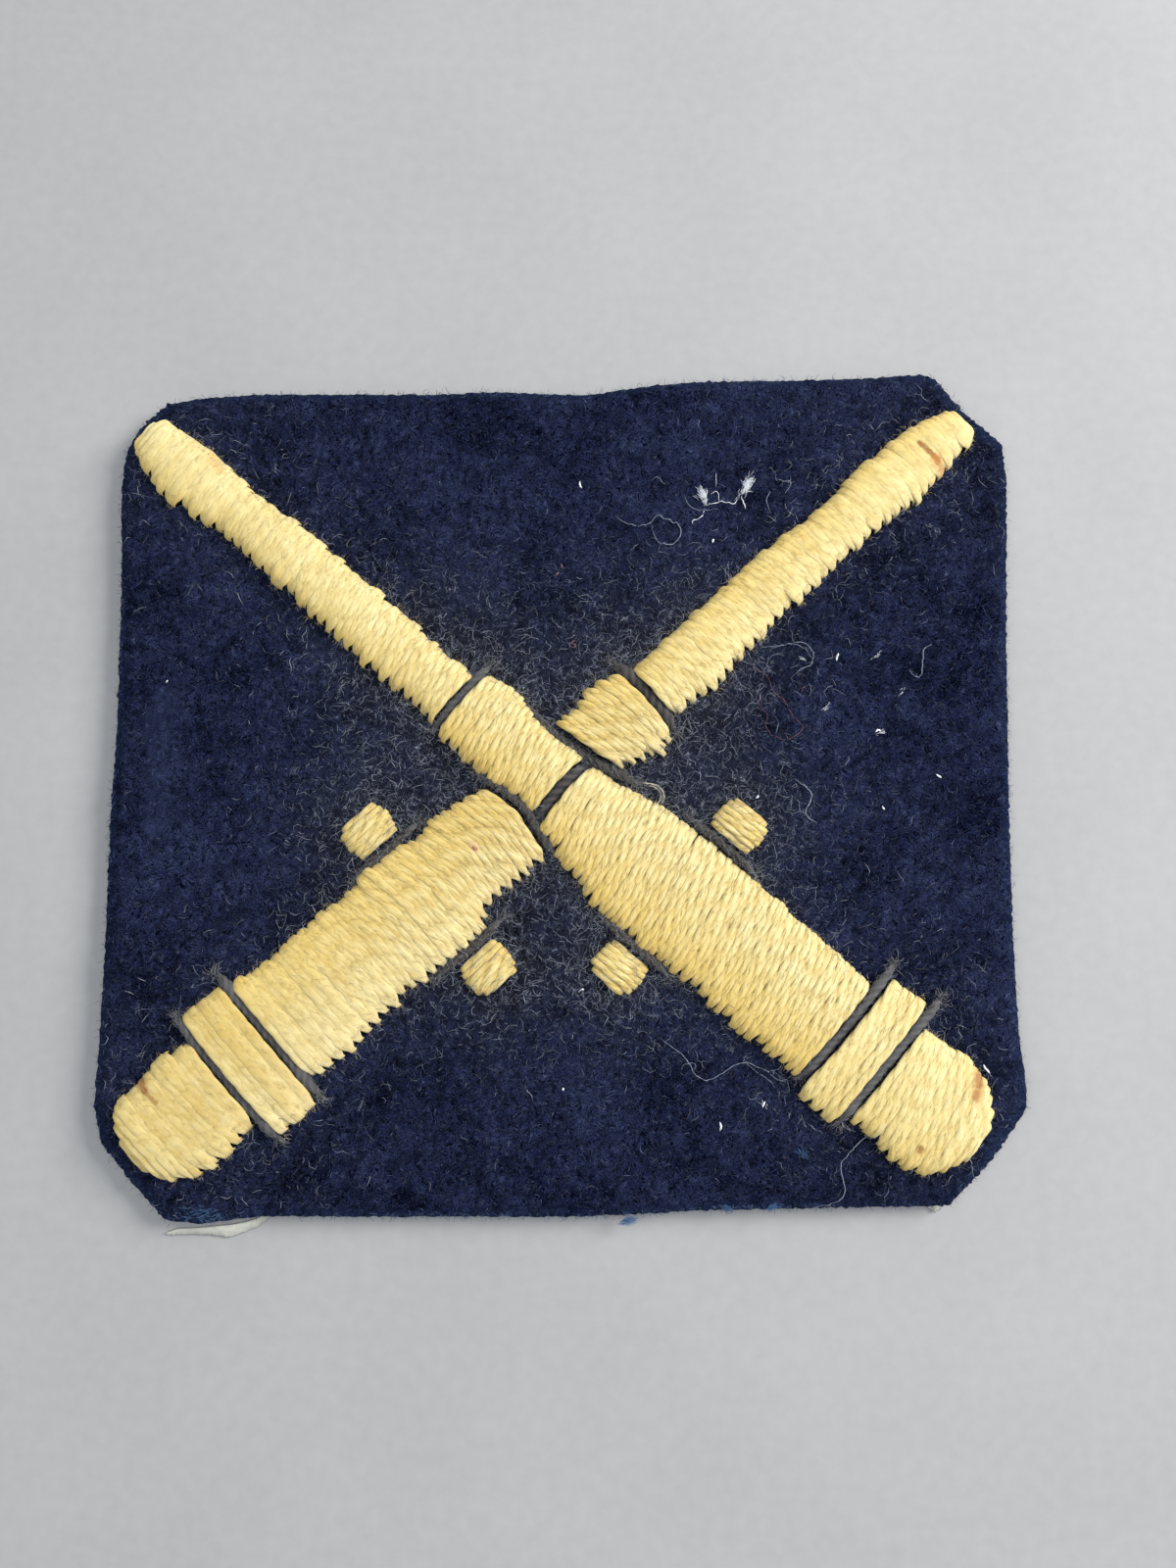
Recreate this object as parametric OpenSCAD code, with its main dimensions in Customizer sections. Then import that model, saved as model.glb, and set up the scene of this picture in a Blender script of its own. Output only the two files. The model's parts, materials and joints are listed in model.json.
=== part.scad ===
// A cloth arm patch with two crossed cannon barrels in padded satin stitch.
// It lies face up. X runs to the right, Y up the patch and Z out of its face.
// The origin is on the lowest face, under the middle of the cloth.

/* [Cannons] */
// Length of the over cannon's chase, from its muzzle to its chase cord
over_chase_l = 34.2; // [26:0.1:42]
// Length of the under cannon's chase, from its muzzle to its chase cord
under_chase_l = 34.9; // [26:0.1:42]
// Length from each chase cord to the point where the two axes cross
crossing_l = 10.1; // [9:0.1:14]
// Length from the crossing point to the over cannon's body cord
body_cord_l = 1.0; // [0:0.1:2]
// Length from the crossing point to each front ring cord
body_l = 29.5; // [24:0.1:36]
// Length of each base ring, from its front cord to its rear cord
ring_l = 4.4; // [3:0.1:7]
// Length of each breech, from its rear ring cord to its round end
breech_l = 9; // [7:0.1:12]
// Angle of the over cannon below the horizontal
over_lean = 41; // [36:0.2:45]
// Angle of the under cannon below the horizontal
under_lean = 41.8; // [36:0.2:45]
// Place of the crossing point to the right of the cloth's middle
crossing_x = -0.84; // [-3:0.02:3]
// Place of the crossing point above the cloth's middle
crossing_y = -0.31; // [-3:0.01:3]

/* [Widths] */
// Width of a chase
chase_w = 5; // [4:0.1:6]
// Width of a reinforce, the stretch between the chase and the body
reinforce_w = 6.4; // [5:0.1:8]
// Width of a body
body_w = 9.4; // [8:0.1:11]
// Width of a base ring
ring_w = 12; // [10:0.1:14]
// Width of a breech
breech_w = 9.8; // [8:0.1:12]

/* [Trunnions] */
// Distance from the crossing point to the middle of the trunnions
trunnion_at = 13.4; // [11:0.1:17]
// Width of a trunnion along the barrel
trunnion_w = 4; // [3:0.1:5]
// Length of a trunnion, out from its cord
trunnion_l = 3; // [2:0.1:4]
// Length of the cord at a trunnion's root
trunnion_cord_l = 7; // [5:0.1:9]

/* [Padding and cords] */
// Height of the padded satin above the cloth
pad_h = 1.1; // [0.7:0.05:1.6]
// Height of a trunnion above the cloth
trunnion_h = 0.8; // [0.5:0.05:1.2]
// Width of a cord
cord_w = 0.8; // [0.5:0.05:1.2]
// Height of a cord above the cloth
cord_h = 0.6; // [0.4:0.05:1]
// Room between the crossing cords and the under cannon's stitches
crossing_room = 0.2; // [0.1:0.05:0.8]
// Clearance between neighbouring pieces
fit = 0.05; // [0.02:0.01:0.1]

/* [Cloth and backing] */
// Thickness of the ground cloth
cloth_t = 1.5; // [1:0.1:3]
// Cloth left between the longest barrel's end and the side edge
side_margin = 2.45; // [2:0.05:6]
// Cloth left between the longest barrel's end and the upper or lower edge
foot_margin = 4.05; // [3:0.05:8]
// Thickness of the paper backing
backing_t = 0.3; // [0.1:0.05:0.6]
// Distance of the backing's edge inside the cloth's edge
backing_inset = 0.6; // [0.3:0.1:2]
// Length of the backing's torn tongue along the lower edge
tongue_l = 7.9; // [5:0.1:12]
// How far the torn tongue reaches out past the cloth
tongue_out = 2; // [1:0.1:3]
// Width of the small torn scrap at the lower right corner
scrap_w = 0.8; // [0.4:0.1:2]
// How far the small torn scrap reaches out past the cloth
scrap_out = 0.4; // [0.2:0.1:1]

/* [Hidden] */

NAVY = [0.14, 0.17, 0.28];
GOLD = [0.91, 0.83, 0.58];
SLATE = [0.29, 0.30, 0.34];
PAPER = [0.85, 0.86, 0.84];

// Levels above the surface that the patch lies on
cloth_z = backing_t + fit;
face_z = cloth_z + cloth_t;
stitch_z = face_z + fit;

// Stations along a barrel, measured from the crossing point towards the breech
chase_cord_at = -crossing_l;
ring_front_at = body_l;
ring_rear_at = body_l + ring_l;
breech_end_at = ring_rear_at + breech_l;
groove = cord_w / 2 + fit;
// How far a line along the over cannon leans in the under cannon's own frame
cross_slant = 90 - over_lean - under_lean;

// The cloth is cut around the longest barrel end
longest = max(crossing_l + max(over_chase_l, under_chase_l), breech_end_at);
half_w = longest * cos(min(over_lean, under_lean)) + side_margin;
half_h = longest * sin(max(over_lean, under_lean)) + foot_margin;

// Tables of sections. Each row is one section of a barrel's piece, from the muzzle towards the
// breech: its place as a share of the piece's length, then its upper and its lower half width as
// shares of half the piece's named width.
AT = 0;
UPPER = 1;
LOWER = 2;
OVER_CHASE = [[0, 0.52, 0.52], [0.02, 0.86, 0.74], [0.1, 1, 1.1], [0.22, 1, 0.98], [0.3, 0.88, 0.8],
    [0.41, 1, 0.78], [0.48, 1.12, 0.82], [0.62, 1.05, 0.92], [0.8, 1, 0.96], [1, 1.04, 0.94]];
UNDER_CHASE = [[0, 0.6, 0.7], [0.04, 0.88, 0.92], [0.12, 1.08, 1], [0.28, 1.22, 0.96],
    [0.36, 1.04, 0.86], [0.5, 1.14, 0.94], [0.62, 1.24, 0.92], [0.76, 1.2, 1.04],
    [0.88, 1.2, 1.22], [1, 1.16, 1.04]];
OVER_REINFORCE = [[0, 0.94, 0.9], [0.25, 1.08, 1], [0.5, 0.92, 0.92], [0.8, 0.9, 0.86], [1, 1, 0.84]];
UNDER_REINFORCE = [[0, 1.03, 1.12], [0.35, 1.15, 1.22], [0.75, 1.15, 1.05], [1, 1.12, 0.85]];
OVER_BODY = [[0, 0.68, 0.68], [0.1, 0.77, 0.79], [0.23, 0.96, 0.97], [0.42, 1.03, 1.1],
    [0.6, 1, 0.98], [0.8, 1, 1], [1, 0.97, 0.93]];
UNDER_BODY = [[0, 0.68, 0.9], [0.12, 0.82, 0.82], [0.24, 0.78, 0.84], [0.3, 0.86, 1.1],
    [0.42, 0.96, 1.1], [0.52, 0.86, 1.02], [0.7, 0.9, 0.98], [0.85, 0.88, 1.1], [1, 0.96, 1.02]];
OVER_RING = [[0, 0.98, 0.95], [0.5, 1, 0.97], [1, 0.99, 0.98]];
UNDER_RING = [[0, 0.9, 1.05], [0.5, 0.94, 1.06], [1, 0.93, 1.04]];
OVER_BREECH = [[0, 0.95, 0.94], [0.2, 1, 0.92], [0.4, 1.04, 0.96], [0.63, 1.02, 0.93],
    [0.85, 0.8, 0.72], [0.95, 0.52, 0.42], [1, 0.24, 0.16]];
UNDER_BREECH = [[0, 0.82, 0.94], [0.3, 0.88, 1.02], [0.55, 0.86, 1.05], [0.75, 0.84, 0.9],
    [0.9, 0.7, 0.66], [0.97, 0.42, 0.42], [1, 0.22, 0.22]];
// A trunnion's rows run outwards from its cord
TRUNNION = [[0, 0.92, 0.92], [0.5, 1, 1], [0.8, 0.94, 0.94], [1, 0.74, 0.74]];

// Cords across a barrel: the reach of the upper and the lower end as shares of half the named
// width beside it, and the bow of the middle towards the muzzle as a share of the cord's width
REACH_UP = 0;
REACH_DOWN = 1;
BOW = 2;
OVER_CHASE_CORD = [1.2, 0.86, 0.1];
OVER_BODY_CORD = [0.9, 0.9, 0.3];
OVER_FRONT_CORD = [1.13, 0.74, -0.2];
OVER_REAR_CORD = [1.18, 0.88, 0.1];
UNDER_CHASE_CORD = [1.2, 1.05, 0.4];
UNDER_FRONT_CORD = [1.06, 1.04, 0.1];
UNDER_REAR_CORD = [0.98, 1.08, -0.1];
// How far the crossing cords run each way along the over cannon, from the crossing point
CROSSING_UPPER = [-5.2, -2.6, 0, 2.2, 5.1];
CROSSING_LOWER = [-5.2, -3, -0.6, 1.6, 3.8];

// The cloth's four edges, clockwise. Each row is a place along the edge and how far out the edge
// lies there, as shares of the cloth's half width and half height.
TOP_EDGE = [[-0.901, 0.927], [-0.816, 0.941], [-0.684, 0.95], [-0.324, 0.949], [-0.143, 0.956],
    [0.038, 0.947], [0.08, 0.953], [0.187, 0.971], [0.288, 0.982], [0.621, 0.988], [0.81, 1],
    [0.843, 0.994]];
RIGHT_EDGE = [[0.824, 0.992], [0.733, 1], [0.595, 0.995], [0.401, 0.986], [0.007, 0.975],
    [-0.316, 0.97], [-0.583, 0.973], [-0.706, 0.985], [-0.753, 0.981]];
FOOT_EDGE = [[0.81, 0.962], [0.593, 0.965], [0.305, 0.971], [0.049, 0.985], [-0.324, 0.985],
    [-0.643, 0.985], [-0.758, 1], [-0.83, 0.994]];
LEFT_EDGE = [[-0.824, 0.975], [-0.744, 0.992], [-0.398, 0.986], [-0.09, 0.989], [0.137, 0.984],
    [0.445, 0.989], [0.718, 1], [0.809, 0.992]];
// Outward bulge of each clipped corner, as a share of its length: the corner after the top edge,
// after the right edge, after the foot and after the left edge
CORNER_BULGE = [-0.04, 0.04, 0.02, 0.08];

// The torn tongue: place from its root to its tip, then its outer and its inner edge as shares of
// how far it reaches out past the cloth
OUTER = 1;
INNER = 2;
TONGUE = [[0, 0.05, -0.6], [0.14, 0.5, -0.3], [0.23, 0.8, 0.2], [0.43, 1, 0.5], [0.7, 0.88, 0.6],
    [1, 0.7, 0.62]];
tongue_root_x = -0.61 * half_w;
scrap_x = 0.79 * half_w;

ARCH_STEPS = 8;
ARCH_POWER = 2.4;
CORD_STEPS = 6;
// How far in from a pad's end its full height is reached, and its height at the very end
end_round = 0.35;
END_HEIGHT = 0.55;

// Value of one column of a table at a place between rows
function column(table, c, at) = lookup(at, [for (row = table) [row[AT], row[c]]]);

// Height of a rounded pad over its width, where t runs from -1 to 1
function arch(t) = pow(max(0, 1 - pow(abs(t), ARCH_POWER)), 1 / ARCH_POWER);

// Points across one section, from the lower edge over the top to the upper edge
function section(x, up, down, h, slant) = [for (k = [0 : ARCH_STEPS])
    let (t = -cos(180 * k / ARCH_STEPS), y = t > 0 ? t * up : t * down)
    [x + y * tan(slant), y, stitch_z + h * arch(t)]];

// Triangles of a closed bar through rings of equal length that lie one after another
function ring_sides(rings, size) = [for (i = [0 : rings - 2]) for (k = [0 : size - 1])
    let (a = i * size + k, b = i * size + (k + 1) % size)
    each [[a, b, b + size], [a, b + size, a + size]]];
function ring_caps(rings, size) = let (last = (rings - 1) * size)
    [[for (k = [size - 1 : -1 : 0]) k], [for (k = [0 : size - 1]) last + k]];

module bar(rings) {
    polyhedron(points = [for (ring = rings) each ring],
        faces = concat(ring_sides(len(rings), len(rings[0])), ring_caps(len(rings), len(rings[0]))));
}

// A padded piece from station x0 to station x1, with its two ends slanted as given
module pad(x0, x1, table, w, h, slant0 = 0, slant1 = 0) {
    length = x1 - x0;
    inner = [for (row = table) if (row[AT] * length > 1.5 * end_round
        && (1 - row[AT]) * length > 1.5 * end_round) row[AT] * length];
    stations = concat([0, end_round], inner, [length - end_round, length]);
    last = len(stations) - 1;
    bar([for (i = [0 : last])
        let (s = stations[i], share = s / length, full = i > 0 && i < last)
        section(x0 + s, column(table, UPPER, share) * w / 2, column(table, LOWER, share) * w / 2,
            h * (full ? 1 : END_HEIGHT), slant0 + (slant1 - slant0) * share)]);
}

// A laid cord through points on the cloth's face, flat below and round above
module laid_cord(route) {
    last = len(route) - 1;
    bar([for (i = [0 : last])
        let (ahead = route[min(i + 1, last)] - route[max(i - 1, 0)],
            side = [-ahead[1], ahead[0]] / norm(ahead),
            size = i > 0 && i < last ? 1 : 0.7)
        [for (k = [0 : CORD_STEPS])
            let (t = -cos(180 * k / CORD_STEPS), at = route[i] + side * t * size * cord_w / 2)
            [at[0], at[1], stitch_z + size * cord_h * sqrt(max(0, 1 - t * t))]]]);
}

// Where the pieces before and behind a cord across a barrel end, clear of its bow
function before(x, row) = x - groove - max(0, row[BOW]) * cord_w;
function behind(x, row) = x + groove + max(0, -row[BOW]) * cord_w;

// A cord across a barrel at station x
module cross_cord(x, w, row) {
    ends = [row[REACH_UP] * w / 2, -row[REACH_DOWN] * w / 2];
    laid_cord([for (i = [0 : 6])
        let (share = i / 6, u = 2 * share - 1)
        [x - row[BOW] * cord_w * (1 - u * u), ends[0] + (ends[1] - ends[0]) * share]]);
}

// Stretch of the over cannon's body, and half width of that cannon at station x
over_body_start = behind(body_cord_l, OVER_BODY_CORD);
over_body_end = before(ring_front_at, OVER_FRONT_CORD);
function over_edge(c, x) = x < body_cord_l
    ? column(OVER_REINFORCE, c, (x + crossing_l) / (crossing_l + body_cord_l)) * reinforce_w / 2
    : column(OVER_BODY, c, (x - over_body_start) / (over_body_end - over_body_start)) * body_w / 2;

// Distance of a crossing cord's middle from the over cannon's axis at station x
EDGE_SPAN = 1.4;
function crossing_y_at(c, x) = max([for (i = [-4 : 4]) over_edge(c, x + i * EDGE_SPAN / 4)]) + groove;

// Where the under cannon starts again beside a crossing cord, along its own axis
UNDER_SPAN = 4;
function under_gap(c) = (max([for (x = [-UNDER_SPAN : UNDER_SPAN]) crossing_y_at(c, x)])
    + groove + crossing_room) / cos(cross_slant);
under_body_start = under_gap(LOWER);
under_body_end = before(ring_front_at, UNDER_FRONT_CORD);

// Distance of a trunnion's cord from its barrel's axis, outside the widest place beside it
CORD_SAMPLES = 14;
function trunnion_cord_y(table, c, x0, x1) = max([for (i = [-CORD_SAMPLES : CORD_SAMPLES])
    column(table, c, (trunnion_at + i * trunnion_cord_l / 2 / CORD_SAMPLES - x0) / (x1 - x0))])
    * body_w / 2 + groove;
over_cord_y = [for (c = [UPPER, LOWER]) trunnion_cord_y(OVER_BODY, c, over_body_start, over_body_end)];
under_cord_y = [for (c = [UPPER, LOWER])
    trunnion_cord_y(UNDER_BODY, c, under_body_start, under_body_end)];

module trunnion(cord_y, side) {
    translate([trunnion_at, 0, 0])
        rotate([0, 0, side * 90])
            pad(cord_y + groove, cord_y + groove + trunnion_l, TRUNNION, trunnion_w, trunnion_h);
}

module trunnion_cord(cord_y, side) {
    laid_cord([for (i = [0 : 6])
        [trunnion_at + (i / 6 - 0.5) * trunnion_cord_l, side * cord_y]]);
}

module crossing_cord(stations, c, side) {
    laid_cord([for (x = stations) [x, side * crossing_y_at(c, x)]]);
}

// Places a piece on the over or on the under cannon: its axis along X, its upper side along Y
module on_over() {
    translate([crossing_x, crossing_y, 0])
        rotate([0, 0, -over_lean])
            children();
}

module on_under() {
    translate([crossing_x, crossing_y, 0])
        mirror([1, 0, 0])
            rotate([0, 0, -under_lean])
                children();
}

// The middle of a clipped corner between points a and b, bulged outwards
function corner(a, b, bulge) = [(a + b) / 2 + [a[1] - b[1], b[0] - a[0]] * bulge];

function outline(w, h) =
    let (top = [for (p = TOP_EDGE) [p[0] * w, p[1] * h]],
        right = [for (p = RIGHT_EDGE) [p[1] * w, p[0] * h]],
        foot = [for (p = FOOT_EDGE) [p[0] * w, -p[1] * h]],
        left = [for (p = LEFT_EDGE) [-p[1] * w, p[0] * h]])
    concat(top, corner(top[len(top) - 1], right[0], CORNER_BULGE[0]),
        right, corner(right[len(right) - 1], foot[0], CORNER_BULGE[1]),
        foot, corner(foot[len(foot) - 1], left[0], CORNER_BULGE[2]),
        left, corner(left[len(left) - 1], top[0], CORNER_BULGE[3]));

module ground_cloth() {
    color(NAVY)
        translate([0, 0, cloth_z])
            linear_extrude(cloth_t)
                polygon(outline(half_w, half_h));
}

module torn_tongue() {
    foot_y = -FOOT_EDGE[5][1] * half_h;
    polygon(concat(
        [for (row = TONGUE)
            [tongue_root_x - row[AT] * tongue_l, foot_y - row[OUTER] * tongue_out]],
        [for (i = [len(TONGUE) - 1 : -1 : 0])
            [tongue_root_x - TONGUE[i][AT] * tongue_l, foot_y - TONGUE[i][INNER] * tongue_out]]));
}

module torn_scrap() {
    foot_y = -FOOT_EDGE[0][1] * half_h;
    translate([scrap_x - scrap_w / 2, foot_y - scrap_out])
        square([scrap_w, scrap_out + 4 * backing_inset]);
}

module paper_backing() {
    color(PAPER)
        union() {
            linear_extrude(backing_t)
                polygon(outline(half_w - backing_inset, half_h - backing_inset));
            linear_extrude(backing_t)
                torn_tongue();
            linear_extrude(backing_t)
                torn_scrap();
        }
}

module over_chase() {
    color(GOLD)
        on_over()
            pad(chase_cord_at - over_chase_l, before(chase_cord_at, OVER_CHASE_CORD), OVER_CHASE,
                chase_w, pad_h);
}

module over_reinforce() {
    color(GOLD)
        on_over()
            pad(behind(chase_cord_at, OVER_CHASE_CORD), before(body_cord_l, OVER_BODY_CORD),
                OVER_REINFORCE, reinforce_w, pad_h);
}

module over_body() {
    color(GOLD)
        on_over()
            pad(over_body_start, over_body_end, OVER_BODY, body_w, pad_h);
}

module over_base_ring() {
    color(GOLD)
        on_over()
            pad(behind(ring_front_at, OVER_FRONT_CORD), before(ring_rear_at, OVER_REAR_CORD),
                OVER_RING, ring_w, pad_h);
}

module over_breech() {
    color(GOLD)
        on_over()
            pad(behind(ring_rear_at, OVER_REAR_CORD), breech_end_at, OVER_BREECH, breech_w, pad_h);
}

module over_trunnion_upper() {
    color(GOLD)
        on_over()
            trunnion(over_cord_y[0], 1);
}

module over_trunnion_lower() {
    color(GOLD)
        on_over()
            trunnion(over_cord_y[1], -1);
}

module under_chase() {
    color(GOLD)
        on_under()
            pad(chase_cord_at - under_chase_l, before(chase_cord_at, UNDER_CHASE_CORD), UNDER_CHASE,
                chase_w, pad_h);
}

module under_reinforce() {
    color(GOLD)
        on_under()
            pad(behind(chase_cord_at, UNDER_CHASE_CORD), -under_gap(UPPER), UNDER_REINFORCE,
                reinforce_w, pad_h, 0, cross_slant);
}

module under_body() {
    color(GOLD)
        on_under()
            pad(under_body_start, under_body_end, UNDER_BODY, body_w, pad_h, cross_slant, 0);
}

module under_base_ring() {
    color(GOLD)
        on_under()
            pad(behind(ring_front_at, UNDER_FRONT_CORD), before(ring_rear_at, UNDER_REAR_CORD),
                UNDER_RING, ring_w, pad_h);
}

module under_breech() {
    color(GOLD)
        on_under()
            pad(behind(ring_rear_at, UNDER_REAR_CORD), breech_end_at, UNDER_BREECH, breech_w, pad_h);
}

module under_trunnion_upper() {
    color(GOLD)
        on_under()
            trunnion(under_cord_y[0], 1);
}

module under_trunnion_lower() {
    color(GOLD)
        on_under()
            trunnion(under_cord_y[1], -1);
}

module over_chase_cord() {
    color(SLATE)
        on_over()
            cross_cord(chase_cord_at, reinforce_w, OVER_CHASE_CORD);
}

module over_body_cord() {
    color(SLATE)
        on_over()
            cross_cord(body_cord_l, reinforce_w, OVER_BODY_CORD);
}

module over_ring_cord_front() {
    color(SLATE)
        on_over()
            cross_cord(ring_front_at, ring_w, OVER_FRONT_CORD);
}

module over_ring_cord_rear() {
    color(SLATE)
        on_over()
            cross_cord(ring_rear_at, ring_w, OVER_REAR_CORD);
}

module over_trunnion_cord_upper() {
    color(SLATE)
        on_over()
            trunnion_cord(over_cord_y[0], 1);
}

module over_trunnion_cord_lower() {
    color(SLATE)
        on_over()
            trunnion_cord(over_cord_y[1], -1);
}

module under_chase_cord() {
    color(SLATE)
        on_under()
            cross_cord(chase_cord_at, reinforce_w, UNDER_CHASE_CORD);
}

module under_ring_cord_front() {
    color(SLATE)
        on_under()
            cross_cord(ring_front_at, ring_w, UNDER_FRONT_CORD);
}

module under_ring_cord_rear() {
    color(SLATE)
        on_under()
            cross_cord(ring_rear_at, ring_w, UNDER_REAR_CORD);
}

module under_trunnion_cord_upper() {
    color(SLATE)
        on_under()
            trunnion_cord(under_cord_y[0], 1);
}

module under_trunnion_cord_lower() {
    color(SLATE)
        on_under()
            trunnion_cord(under_cord_y[1], -1);
}

module crossing_cord_upper() {
    color(SLATE)
        on_over()
            crossing_cord(CROSSING_UPPER, UPPER, 1);
}

module crossing_cord_lower() {
    color(SLATE)
        on_over()
            crossing_cord(CROSSING_LOWER, LOWER, -1);
}

ground_cloth();
paper_backing();
over_chase();
over_reinforce();
over_body();
over_base_ring();
over_breech();
over_trunnion_upper();
over_trunnion_lower();
under_chase();
under_reinforce();
under_body();
under_base_ring();
under_breech();
under_trunnion_upper();
under_trunnion_lower();
over_chase_cord();
over_body_cord();
over_ring_cord_front();
over_ring_cord_rear();
over_trunnion_cord_upper();
over_trunnion_cord_lower();
under_chase_cord();
under_ring_cord_front();
under_ring_cord_rear();
under_trunnion_cord_upper();
under_trunnion_cord_lower();
crossing_cord_upper();
crossing_cord_lower();
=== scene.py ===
# %% [markdown]
# # Crossed cannons on navy wool
# This lesson dresses a cloth arm patch: two cannon barrels worked in padded satin stitch on a
# hand-cut square of wool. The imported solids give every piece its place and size. Here each of
# them gets its threads, nap and wear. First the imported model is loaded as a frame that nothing
# below may move.

# %% Load the frame
import json
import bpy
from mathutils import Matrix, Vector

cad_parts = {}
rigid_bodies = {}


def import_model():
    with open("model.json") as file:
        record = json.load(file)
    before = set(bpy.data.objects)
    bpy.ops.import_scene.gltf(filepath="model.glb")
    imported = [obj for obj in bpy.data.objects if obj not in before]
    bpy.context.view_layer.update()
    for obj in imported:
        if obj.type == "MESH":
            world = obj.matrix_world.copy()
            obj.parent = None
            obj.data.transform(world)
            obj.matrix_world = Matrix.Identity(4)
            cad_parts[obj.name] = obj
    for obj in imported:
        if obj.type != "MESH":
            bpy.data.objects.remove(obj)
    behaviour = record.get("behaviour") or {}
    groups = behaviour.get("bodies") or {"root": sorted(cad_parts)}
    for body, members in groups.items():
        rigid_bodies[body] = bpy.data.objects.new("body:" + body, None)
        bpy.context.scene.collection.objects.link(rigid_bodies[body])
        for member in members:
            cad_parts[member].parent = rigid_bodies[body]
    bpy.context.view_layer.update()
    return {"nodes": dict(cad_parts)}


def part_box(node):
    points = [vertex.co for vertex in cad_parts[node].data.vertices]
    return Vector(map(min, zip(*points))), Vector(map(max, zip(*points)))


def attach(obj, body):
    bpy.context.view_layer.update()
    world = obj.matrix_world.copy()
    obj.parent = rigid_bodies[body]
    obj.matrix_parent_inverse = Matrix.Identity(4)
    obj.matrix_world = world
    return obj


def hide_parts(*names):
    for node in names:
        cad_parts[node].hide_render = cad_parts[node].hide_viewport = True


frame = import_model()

import zlib
from types import SimpleNamespace

import bpy
import numpy as np
from mathutils import Vector

MM = 0.001
print("solids in the frame:", len(frame["nodes"]))

# %% [markdown]
# ## Camera
# The photograph was taken with the lens close above the patch and tilted a little, so the near
# barrels look larger than the far ones. A long lens from far away would lose that. The camera
# therefore stands at the real distance, and looks at the face of the cloth.

# %% Camera
CAMERA_AT = Vector((1.96, -11.75, 94.75)) * MM
CAMERA_AIM = Vector((1.96, -0.34, 1.85)) * MM
camera = bpy.data.objects.new("camera", bpy.data.cameras.new("camera"))
camera.data.lens = 27
camera.data.sensor_width = 36
camera.data.clip_start = 0.001
camera.location = CAMERA_AT
camera.rotation_euler = (CAMERA_AIM - CAMERA_AT).to_track_quat("-Z", "Y").to_euler()
bpy.context.scene.collection.objects.link(camera)
bpy.context.scene.camera = camera
print("camera distance in mm:", round((CAMERA_AIM - CAMERA_AT).length / MM, 1))

# %% [markdown]
# ## Light
# Daylight comes in low from the upper right: thread crowns shine on that side, and a soft shadow
# about a millimetre wide lies along the left edges. One broad lamp low on the right gives both,
# and a pale sky fills the rest. A small hard lamp would draw a black rim round every thread.

# %% Lamps and sky
def soft_lamp(name, place, size, power, colour):
    """A square lamp of the given size in mm, aimed at the middle of the patch."""
    lamp = bpy.data.lights.new(name, "AREA")
    lamp.size = size * MM
    lamp.energy = power
    lamp.color = colour
    stand = bpy.data.objects.new(name, lamp)
    stand.location = Vector(place) * MM
    stand.rotation_euler = (-stand.location).to_track_quat("-Z", "Y").to_euler()
    bpy.context.scene.collection.objects.link(stand)


soft_lamp("window", (320, 130, 220), 190, 2.35, (1.0, 0.985, 0.95))
soft_lamp("room", (-60, -40, 400), 420, 1.0, (0.95, 0.975, 1.0))
sky = bpy.data.worlds.new("sky")
sky.use_nodes = True
sky.node_tree.nodes["Background"].inputs["Color"].default_value = (0.88, 0.94, 1.0, 1)
sky.node_tree.nodes["Background"].inputs["Strength"].default_value = 0.4
bpy.context.scene.world = sky
bpy.context.scene.view_settings.view_transform = "Standard"
print("lamps: window low on the right, room overhead")

# %% [markdown]
# ## Arrays into meshes
# Every shape below is worked out as whole arrays of points. One helper writes such arrays into a
# mesh. Another carries a closed ring along many paths at once, which makes threads, cords and
# hairs alike. A third joins several shells, because a stitched pad is many threads over one core.

# %% Put arrays into a mesh
def signed_volume(points, faces):
    """Sum over all triangles of a . (b x c) / 6, which is above 0 when the faces point out."""
    volume = 0.0
    for rows in faces:
        for k in range(1, rows.shape[1] - 1):
            a, b, c = points[rows[:, 0]], points[rows[:, k]], points[rows[:, k + 1]]
            volume += (a * np.cross(b, c)).sum() / 6
    return volume


def turned_out(points, faces):
    """The faces, all turned round if the shell is inside out."""
    if signed_volume(points, faces) < 0:
        return [rows[:, ::-1] for rows in faces]
    return faces


def join(shells):
    """Shells laid one after another: points stacked, face numbers raised by those before."""
    start = np.cumsum([0] + [len(shell[0]) for shell in shells])
    faces = [rows + at for shell, at in zip(shells, start) for rows in shell[1]]
    values = {key: np.concatenate([shell[2][key] for shell in shells]) for key in shells[0][2]}
    return np.concatenate([shell[0] for shell in shells]), faces, values


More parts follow.
